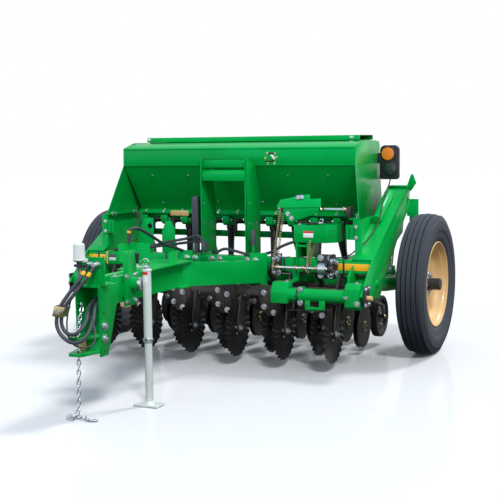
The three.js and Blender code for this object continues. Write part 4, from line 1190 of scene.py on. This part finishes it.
def makeMast():
    m = mastSize
    y0, z0, z1 = m["front"], m["z0"], m["z1"]
    sheetWork, rows = Stock(), []
    for x0, x1, lip0, lip1 in m["plates"]:
        web = [(y0, z0), (y0, z1), (214, z1), (352, 1478), (361, 1450), (440, 1200), (440, z0)]
        sheetWork.prism(web, "X", x0, x1)
        sheetWork.box(lip0, lip1, y0, y0 + 5, z0, z1 - 3)
        sheetWork.box(min(x0, lip0) - 14, max(x1, lip1) + 14, y0 + 10, 300, z0, z0 + 10)
        for z in m["holes"]:
            rows += [((x0 + 6.2, 236, z), (1, 0, 0), 1), ((x0 + 6.2, 372 + (z - 1036) * 0.7, z), (1, 0, 0), 1)]
    sheetWork.box(-194, 186, 204, 210, 1466, z1)
    sheetWork.box(-194, 186, 204, 270, z1 - 6, z1)
    bar = [(y0 - 0.2, 1365), (y0 - 0.2, 1420), (208, 1447), (262, 1447), (262, 1365)]
    sheetWork.prism(bar, "X", -180, 176)
    sheetWork.box(-196, 188, 196, 250, 1380, 1430)
    piece("mast_folded", sheetWork, "green", "frame", 1.6, 34, ["mast"])
    boltField("mast_bolts", rows, "frame", 10, 4)


makeMast()

# jack
jack = {"x": 205, "y": -1351, "pivotZ": 775, "tubeR": 27}


def makeJack():
    x, y, r = jack["x"], jack["y"], jack["tubeR"]
    bore, leg = 25.2, 24.6
    tube = [(405, bore), (405, r), (858, r), (858, r + 4), (868, r + 4), (873, r), (874, 0), (840, 0), (840, bore)]
    body = Stock().turned(tube, (x, y, 0), (0, 0, 1), 56)
    piece("jack_sleeve", body, "pale", "jack", 0, 30, ["jack_tube"])
    ring = Stock().turned([(0, 20), (0, 44), (16, 44), (20, 40), (22.4, 32), (22.4, 20)], (155.5, y, jack["pivotZ"]), (1, 0, 0), 56)
    ring.turned([(-5.2, 0), (-5.2, 20), (0, 20), (0, 0)], (155.6, y, jack["pivotZ"]), (1, 0, 0), 40)
    piece("jack_swivel_ring", ring, "zinc", "jack", 0, 30, ["jack_tube"])
    crank = Stock().rod((x, y, 870), (x, y, 908), 9, 24)
    crank.turned([(0, 0), (0, 17), (3, 19), (13, 19), (16, 17), (16, 0)], (x, y, 876), (0, 0, 1), 36)
    crank.sweep(smoothRoute([(x + 14, y - 14, 884), (x - 8, y - 18, 888), (x - 34, y - 20, 884), (152, y - 19, 888),
                             (150, y - 18, 905)], 4), 9, 14, 5)
    crank.sweep(smoothRoute([(x - 12, y - 18, 890), (x - 14, y - 22, 918), (x - 4, y - 24, 936), (x + 14, y - 22, 936),
                             (x + 24, y - 18, 920), (x + 22, y - 12, 898)], 3), 4.5, 12)
    piece("jack_crank", crank, "chrome", "jack", 0, 30, ["jack_tube"])
    grip = [(0, 7), (6, 9.5), (30, 12), (56, 15), (62, 16), (66, 14.5), (67, 0), (0, 0)]
    piece("jack_grip", Stock().turned(grip, (149.5, y - 18, 907), (-0.03, 0, 1), 28), "plastic", "jack", 0, 30,
          ["jack_tube"])
    clip = Stock().sweep(smoothRoute([(x - 20, y - 30, 424), (x - 8, y - 36, 420), (x + 10, y - 38, 424), (x + 24, y - 34, 431),
                                      (x + 10, y - 36, 438), (x - 10, y - 36, 434), (x - 22, y - 30, 428)], 3), 2, 8)
    clip.rod((x - 38, y, 426), (x + 38, y, 426), 6, 20)
    clip.turned([(0, leg + 1), (0, r + 2.5), (26, r + 2.5), (26, leg + 1)], (x, y, 406), (0, 0, 1), 48)
    piece("jack_pin", clip, "zinc", "jack", 0, 40, ["jack_tube"])
    for k, (z0, z1) in enumerate(((792, 836), (837, 855))):
        skin = Stock()
        outline = arc(0, 0, r + 0.6, 215, 310, 12) + arc(0, 0, r - 0.4, 310, 215, 12)
        skin.prism([(x + u, y + v) for u, v in outline], "Z", z0, z1)
        piece(f"jack_patch_{k}", skin, ("white", "red")[k], "jack", 0, 40)
    prop = Stock().turned([(4, 0), (4, leg), (529, leg), (530, leg - 1), (530, 0)], (x, y, 0), (0, 0, 1), 48)
    foot = [(-85, -62), (85, -62), (85, 40), (63, 62), (-63, 62), (-85, 40)]
    prop.prism([(x + u, y + v) for u, v in foot], "Z", 0, 6)
    prop.box(x - 85, x + 85, y - 62, y - 56, 0, 16)
    prop.turned([(6, 0), (6, 34), (12, 30), (30, leg), (30, 0)], (x, y, 0), (0, 0, 1), 40)
    piece("jack_leg_foot", prop, "pale", "jack_foot", 1, 32, ["jack_leg"])
    sole = Stock().prism([(x + u * 1.01, y + v * 1.01) for u, v in foot], "Z", 0.5, 5.4)
    piece("jack_sole", sole, "zinc", "jack_foot", 1, 32)


makeJack()

# lamps
lamp = {"y0": 896, "y1": 940, "x0": 1014, "x1": 1166, "z0": 1354, "z1": 1620}


def lampOutline(s):
    c, out = lamp, []
    for cx, cz, start in ((c["x1"] - 40, c["z1"] - 40, 0), (c["x0"] + 40, c["z1"] - 40, 90),
                          (c["x0"] + 26, c["z0"] + 26, 180), (c["x1"] - 26, c["z0"] + 26, 270)):
        radius = 40 if start < 180 else 26
        out += arc(cx, cz, radius, start, start + 90, 8)
    return [(s * u, v) for u, v in out]


def makeLamps():
    for s, side in sides:
        shell = Stock().prism(lampOutline(s), "Y", lamp["y0"] + 10, lamp["y1"])
        shell.box(s * 995.5, s * 1022, 905, 935, 1480, 1560)
        shell.prism([(s * 1010, 1500), (s * 1010, 1360), (s * 1024, 1352), (s * 1024, 1500)], "Y", 908, 932)
        piece("lamp_shell_" + side, shell, "plastic", "frame", 4, 34, ["lamp_" + side], 3)
        for name, x, z, r, tone in (("amber", 1079, 1554, 52, "amber"), ("smoke", 1099, 1437, 50, "smoke")):
            dome = [(0, 0), (0, r), (4, r), (8, r - 3), (10, r * 0.6), (11, 0)]
            glass = Stock().turned(dome, (s * x, lamp["y0"] + 10.5, z), (0, -1, 0), 56)
            piece(f"lamp_{name}_{side}", glass, tone, "frame", 0, 40)
            ring = [(0, r), (0, r + 6), (6, r + 6), (8, r + 3), (8, r)]
            bezel = Stock().turned(ring, (s * x, lamp["y0"] + 10.5, z), (0, -1, 0), 56)
            piece(f"lamp_bezel_{name}_{side}", bezel, "plastic", "frame", 0, 40)


makeLamps()

# walkboard: side channels and grating bars
board = {"half": 900, "y0": 1230, "y1": 1480, "z": 640, "deep": 30, "bars": 61}


def makeWalkboard():
    b = board
    edge = Stock().box(-b["half"], b["half"], b["y0"], b["y0"] + 5, b["z"] - b["deep"], b["z"])
    edge.box(-b["half"], b["half"], b["y1"] - 5, b["y1"], b["z"] - b["deep"], b["z"])
    for x in (-b["half"], -300, 300, b["half"] - 6):
        edge.box(x, x + 6, b["y0"], b["y1"], b["z"] - b["deep"], b["z"])
    for y in (1290, 1350, 1410):
        edge.box(-b["half"], b["half"], y, y + 6, b["z"] - b["deep"], b["z"] - 8)
    for x in (-700, 700):
        edge.prism([(958.5, 1305), (958.5, 1420), (975, 1420), (1010, 700), (962, 700)], "X", x - 5, x + 5)
        edge.box(x - 5, x + 5, 962, 1270, 660, 720)
        edge.box(x - 5, x + 5, 1230, 1440, 620, 720)
    piece("walkboard_frame", edge, "green", "frame", 1, 34, ["walkboard"])
    step = (2 * b["half"] - 20) / (b["bars"] - 1)
    start = pointMesh("walkboard_start", [((-b["half"] + 10, (b["y0"] + b["y1"]) / 2, b["z"] - 4), (0, 0, 1), 1)])
    grate = bars.run("walkboard_bars", start, "frame", "green", Count=b["bars"], Spacing=(step * mm, 0, 0),
                     Size=(0.005, (b["y1"] - b["y0"] - 8) * mm, 0.008))
    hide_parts("walkboard")


makeWalkboard()

# lift cylinders
lift = {"top": (1000, 1205), "eye": (800, 645), "x": 1131}


def makeCylinders():
    top, eye = Vector((0, *lift["top"])), Vector((0, *lift["eye"]))
    down = (eye - top).normalized()
    for s, side in sides:
        base = top + Vector((s * lift["x"], 0, 0))
        barrel = Stock().turned([(20, 0), (20, 30), (24, 34), (46, 34), (48, 32), (300, 32), (302, 34), (336, 34), (340, 30),
                                 (340, 17), (62, 17), (62, 0)], base, down, 48)
        barrel.turned([(-23, 17.5), (-23, 31), (-21, 32), (21, 32), (23, 31), (23, 17.5)], base, (1, 0, 0), 40)
        port = base + down * 60
        barrel.rod(port + Vector((0, -34, 0)), port + Vector((0, -20, 0)), 11, 20)
        piece("barrel_" + side + "_turned", barrel, "green", "barrel_" + side, 0, 32, ["cylinder_barrel_" + side])
        chrome = Stock().rod(base + down * 220, base + down * (top - eye).length, 15, 40)
        piece("rod_" + side + "_chrome", chrome, "chrome", "rod_" + side, 0, 32, ["cylinder_rod_" + side])
        boss = Stock().turned([(-20.6, 0), (-20.6, 25), (-19, 26), (19, 26), (20.6, 25), (20.6, 0)],
                              eye + Vector((s * lift["x"], 0, 0)), (1, 0, 0), 40)
        piece("rod_eye_" + side, boss, "zinc", "rod_" + side, 0, 32, ["cylinder_rod_" + side])


makeCylinders()
print("jack, lamps, walkboard and cylinders made")

# hopper trim: rolled band edge, gauge, lip and flange bolts, hinges
hopper = {"half": 991, "lipY": 600, "lipZ": 1108}


def makeHopperTrim():
    h = hopper
    rows = []
    count = 12
    for k in range(count):
        x = -h["half"] + 60 + k * (2 * h["half"] - 120) / (count - 1)
        rows.append(((x, 626, h["lipZ"] + 2.2), (0, 0, 1), 1))
        rows.append(((x, h["lipY"], h["lipZ"] - 14), (0, -1, 0), 0.9))
    facing = Vector((0, -0.795, -0.606))
    for x in (-760, -430, 430, 760):
        rows.append(((x, 366 + 0.22 * 282 - 1, 1478 - 0.22 * 370), facing, 0.9))
        rows.append(((x, 366 + 0.84 * 282 - 1, 1478 - 0.84 * 370), facing, 0.9))
    for s in (-1, 1):
        for y, x in ((260, 1060), (300, 1057), (560, 1043), (600, 1040), (860, 1022), (900, 1020)):
            rows.append(((s * (x - 16), y, 1087.6), (0, 0, -1), 1.2))
            rows.append(((s * (x - 16), y, 1097), (0, 0, 1), 1.2))
        for z in (958, 1036):
            rows.append(((s * 1064, 180, z), (0, -1, 0), 1.2))
    boltField("hopper_bolts", rows, "frame", 13, 6)
    roll = Stock().box(-h["half"], h["half"], 362.6, 366.4, 1604, 1612)
    roll.box(-h["half"], h["half"], 362.6, 366.4, 1478, 1484)
    roll.box(-h["half"], h["half"], 364.4, 366.2, 1497, 1500)
    piece("band_rolls", roll, "green", "frame", 1.2, 50)
    crescent = arc(306, 1520, 46, -4, 74, 14) + arc(298, 1512, 40, 66, 4, 12)
    piece("gauge_crescent", Stock().prism(crescent, "Y", 363.4, 366.2), "white", "frame", 0.6)
    slot = Stock().prism([(268, 1502), (330, 1506), (352, 1520), (346, 1528), (326, 1516), (268, 1512)], "Y", 362.6, 366.2)
    slot.box(300, 340, 362.8, 366.2, 1562, 1576)
    piece("gauge_slot", slot, "plastic", "frame", 0.8)
    rows = [((x, 365.6, z), (0, -1, 0), 1) for x, z in ((272, 1534), (288, 1572), (352, 1570), (364, 1540), (292, 1494),
                                                        (348, 1494))]
    boltField("gauge_bolts", rows, "frame", 10, 4, "gold")
    hinge, leaf = Stock(), Stock()
    for x in (-915, 870):
        hinge.box(x - 16, x + 16, 647.5, 650.2, 1640, 1657)
        leaf.box(x - 16, x + 16, 647, 650.2, 1676, 1696)
    piece("lid_latches", hinge, "zinc", "frame", 0.8)
    piece("lid_leaves", leaf, "zinc", "lid", 0.8)
    piece("lip_plate", Stock().box(-694, -526, 597, 600, 1061, 1104), "cream", "frame", 0.8)


makeHopperTrim()

# toolbar trim: stripes, straps and clamp plates
toolbar = {"z0": 697, "z1": 797, "half": 1198.7}


def makeToolbarTrim():
    stripes = Stock()
    for x0, x1 in ((-1195, -1041), (942, 1182)):
        stripes.box(x0, x1, 129.2, 130.2, 723, 772)
    piece("toolbar_stripes", stripes, "stripe", "frame", 0.2)
    for n, (x, tone) in enumerate(((-1023, "cream"), (-1101, "plastic"), (985, "plastic"), (520, "plastic"), (-480, "plastic"))):
        loop = Stock()
        y0, y1, z0, z1 = 127.4, 232.6, 694.4, 799.6
        corner = arc(y1 - 8, z1 - 8, 8, 0, 90, 4) + arc(y0 + 8, z1 - 8, 8, 90, 180, 4)
        corner += arc(y0 + 8, z0 + 8, 8, 180, 270, 4) + arc(y1 - 8, z0 + 8, 8, 270, 360, 4)
        inner = [(180 + (u - 180) * 0.972, 747 + (v - 747) * 0.972) for u, v in corner]
        count = len(corner)
        points = [(x + dx, u, v) for dx in (-7, 7) for u, v in corner] + [(x + dx, u, v) for dx in (-7, 7) for u, v in inner]
        faces = []
        for k in range(count):
            m = (k + 1) % count
            faces += [[k, m, count + m, count + k], [2 * count + k, 2 * count + m, 3 * count + m, 3 * count + k],
                      [k, m, 2 * count + m, 2 * count + k], [count + k, count + m, 3 * count + m, 3 * count + k]]
        loop.add(points, faces)
        piece(f"toolbar_strap_{n}", loop, tone, "frame")
    plates, rows = Stock(), []
    for x0, x1, bolts in ((-345, -165, (-290, -220)), (-112, 28, (-75, -10)), (165, 345, (220, 290))):
        plates.box(x0, x1, 118, 129.8, 704, 792)
        for x in bolts:
            rows += [((x, 118, 722), (0, -1, 0), 1), ((x, 118, 774), (0, -1, 0), 1)]
    piece("clamp_plates", plates, "green", "frame", 1.6)
    boltField("clamp_bolts", rows, "frame", 27, 13)
    piece("toolbar_plate", Stock().box(-1005, -943, 128.8, 130.2, 752, 778), "slate", "frame", 0.4)
    piece("toolbar_plate_low", Stock().box(-1005, -943, 128.8, 130.2, 727, 751), "pale", "frame", 0.4)


makeToolbarTrim()
print("hopper and toolbar trim made")

# cross tubes: collars, straps, a hanging bracket and the shaft's end plate
crossTube = {"y": -60, "z": 556, "collarX": (728, 750), "strapX": (704, 714), "hang": (774, 926), "plateX": 1214.5}


def makeCrossTubes():
    c = crossTube
    y, z = c["y"], c["z"]
    green, black, pins, rows = Stock(), Stock(), Stock(), []
    for s, side in sides:
        x0, x1 = (s * v for v in c["collarX"])
        green.turned([(x0, 50), (x0, 63), (x1, 63), (x1, 50)], (0, y, z), (1, 0, 0), 40)
        x0, x1 = (s * v for v in c["strapX"])
        black.turned([(x0, 50.2), (x0, 53), (x1, 53), (x1, 50.2)], (0, y, z), (1, 0, 0), 40)
        for dz in (-46, 46):
            rows.append(((s * 739, y - 46, z + dz), (0, -1, 0), 1))
        a, b = c["hang"]
        outline = [(a, 454), (a, 526), (a + 38, 526), (a + 38, 480), (b - 44, 480), (b - 44, 528), (b, 528), (b, 462)]
        green.prism([(s * u, v) for u, v in outline], "Y", -108, -99)
        black.box(*sorted((s * 642, s * b)), -104, -36, 446, 451)
        p = c["plateX"]
        black.box(*sorted((s * p, s * (p + 11))), -116, -6, 488, 641)
        for by, bz in ((-98, 622), (-24, 622), (-98, 508), (-24, 508)):
            rows.append(((s * (p + 11), by, bz), (s, 0, 0), 0.8))
        pins.turned([(s * 1226, 0), (s * 1226, 17.5), (s * 1262, 17.5), (s * 1263, 0)], (0, y, z), (1, 0, 0), 32)
        rows += [((s * 1084, -112.6, 560), (0, -1, 0), 0.7), ((s * 1150, -66, 655), (0, 0, 1), 0.8),
                 ((s * 610, -40, 645.4), (0, 0, 1), 0.8), ((s * 1168, -112.6, 520), (0, -1, 0), 0.9)]
    piece("tube_collars", green, "green", "frame", 1.4, 34)
    piece("tube_straps", black, "plastic", "frame", 1, 34)
    piece("tube_pins", pins, "cream", "frame", 0, 34)
    boltField("tube_bolts", rows, "frame", 25, 11)


makeCrossTubes()

# hitch and tongue: plate bolts, black discs painted on as the shade inside the plate's holes, lamp socket cap, spacer
# between the lips
hitchFit = {"plateX": 87.2, "boltZ": (554, 477), "holeZ": (636, 400), "boltY": -1672, "capZ": 964.4}


def makeHitchFit():
    h = hitchFit
    rows, dark = [], Stock()
    for z in h["boltZ"]:
        rows.append(((h["plateX"], h["boltY"], z), (1, 0, 0), 1.15))
        rows.append(((-h["plateX"], h["boltY"], z), (-1, 0, 0), 1.15))
    # painted shade: thin black discs on the plate where its holes are, standing in for the dark inside them
    for z in h["holeZ"]:
        for s in (-1, 1):
            dark.rod((s * (h["plateX"] - 0.3), h["boltY"], z), (s * (h["plateX"] + 0.5), h["boltY"], z), 8.5, 24)
    for y, z in ((-1426, 828), (-1426, 664), (-1322, 828), (-1322, 664)):
        rows.append(((103.2, y, z), (1, 0, 0), 0.8))
    rows += [((x, -1480, 832), (0, 0, 1), 0.7) for x in (-52, 52)]
    boltField("hitch_bolts", rows, "frame", 27, 13)
    piece("hitch_hole_shade", dark, "plastic", "frame", 0, 34)
    cap = Stock().turned([(0, 0), (0, 39), (8, 39), (10, 36.5), (94, 34.8), (102, 29), (103, 0)], (-2, -1787, h["capZ"]),
                         (0, 0, 1), 48)
    cap.prism([(20, -1800), (52, -1794), (56, -1780), (20, -1774)], "Z", h["capZ"] - 8, h["capZ"] + 12)
    piece("socket_cap", cap, "pale", "frame", 1.5, 34)
    piece("lip_spacer", Stock().rod((-30, -1735, 415.4), (-30, -1735, 491.6), 24, 32), "cream", "frame", 1, 34)


makeHitchFit()

# hoses fastened along the frame, and the lamp cable strapped down the right tower
runs = {
    "radius": 11, "lampRadius": 5,
    "toolbar_hose_a": [
        (-1000, 200, 810), (-900, 190, 816), (-800, 170, 812), (-640, 165, 846), (-500, 160, 884), (-380, 150, 905),
        (-280, 130, 925), (-200, 105, 946), (-140, 70, 934), (-104, 40, 892), (-96, 10, 856), (-98, -30, 841)],
    "toolbar_hose_b": [
        (-980, 175, 810), (-860, 160, 812), (-740, 155, 830), (-600, 165, 846), (-440, 170, 868), (-300, 160, 888),
        (-190, 130, 902), (-110, 90, 890), (-76, 50, 860), (-66, 10, 845), (-66, -20, 841)],
    "toolbar_hose_c": [
        (-60, 150, 812), (20, 140, 848), (110, 140, 836), (210, 150, 812), (310, 155, 810), (410, 150, 838),
        (500, 140, 884), (580, 136, 914), (640, 150, 928)],
    "shelf_hose": [
        (-312, -700, 1036), (-300, -690, 1058), (-276, -640, 1060), (-262, -540, 1020), (-270, -420, 974),
        (-285, -300, 932), (-300, -180, 896), (-318, -20, 862), (-328, 100, 832), (-332, 180, 810)],
}
lampLine = [
    (1092, 940, 1380), (1094, 900, 1330), (1120, 720, 1250), (1150, 560, 1200), (1166, 470, 1150), (1160, 400, 1060),
    (1140, 340, 985), (1100, 290, 920), (1050, 250, 870), (1000, 226, 826), (940, 215, 806), (860, 200, 803)]


def makeRuns():
    hoses = Stock()
    for name in ("toolbar_hose_a", "toolbar_hose_b", "toolbar_hose_c", "shelf_hose"):
        hoses.sweep(smoothRoute(runs[name], 10), runs["radius"], 14)
    hoses.rod((-312, -700, 960), (-312, -700, 1036), 13, 20)
    piece("frame_hoses", hoses, "hose", "frame", 0, 50)
    piece("shelf_hose_band", Stock().rod((-312, -700, 1030), (-311, -699, 1046), 15, 24), "stripe", "frame", 1.5, 34)
    piece("lamp_cable", Stock().sweep(smoothRoute(lampLine, 10), runs["lampRadius"], 10), "plastic", "frame", 0, 50)


makeRuns()

# under the hopper: a ribbed case, a grip on its lever, and two support sheets
under = {"case": (-307, -252, 240, 286, 897, 1241), "ribs": 4, "grip": (250, 168)}


def makeUnder():
    x0, x1, y0, y1, z0, z1 = under["case"]
    case = Stock().prism([(x0, z0), (x0, z1 - 18), (x0 + 16, z1), (x1 - 12, z1), (x1, z1 - 12), (x1, z0)], "Y", y0, y1)
    step = (x1 - x0) / under["ribs"]
    for k in range(under["ribs"]):
        case.box(x0 + step * (k + 0.2), x0 + step * (k + 0.8), y0 - 5, y0 + 1, z0 + 8, z1 - 22)
    case.box(x0 + 10, x1 - 10, y0 + 8, y1, 797.6, z0)
    piece("ribbed_case", case, "slate", "frame", 3, 34)
    x, y = under["grip"]
    grip = Stock().turned([(0, 0), (0, 16), (8, 18), (100, 18), (114, 14), (120, 0)], (x, y, 882), (0, 0, 1), 28)
    piece("lever_grip", grip, "slate", "frame", 0, 34)
    lever = Stock().rod((x, y, 797.6), (x, y, 884), 9, 20)
    lever.box(x - 70, x + 60, y - 20, y + 16, 797.6, 812)
    piece("lever_stem", lever, "green", "frame", 2, 34)
    sheets = Stock().prism([(-905, 700), (-905, 900), (-850, 1050), (-760, 1050), (-760, 700)], "Y", 420, 427)
    sheets.prism([(-680, 700), (-680, 940), (-644, 1028), (-598, 1036), (-560, 970), (-560, 700)], "Y", 420, 427)
    hole = Stock().turned([(415, 0), (415, 22), (432, 22), (432, 0)], (-792, 0, 985), (0, 1, 0), 28)
    made = piece("support_sheets", sheets, "green", "frame", 1, 34)
    drill(made, hole)
    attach(made, "frame")


makeUnder()


def coverRest():  # nodes still showing take a finish of their own
    slotOf = {s["node"]: s["material_slot"] for s in frame["record"]["subparts"]}
    finishOf = {"green_paint": "green", "charcoal_paint": "charcoal", "zinc_plate": "zinc", "chrome_rod": "chrome",
                "blade_steel": "blade", "tyre_rubber": "tyre", "wheel_rubber": "press", "hose_rubber": "hose",
                "rim_paint": "cream", "grey_paint": "pale", "black_plastic": "plastic", "lamp_lens": "amber"}
    for name, item in frame["nodes"].items():
        item.data.materials.clear()
        item.data.materials.append(finishes[finishOf[slotOf[name]]])


coverRest()
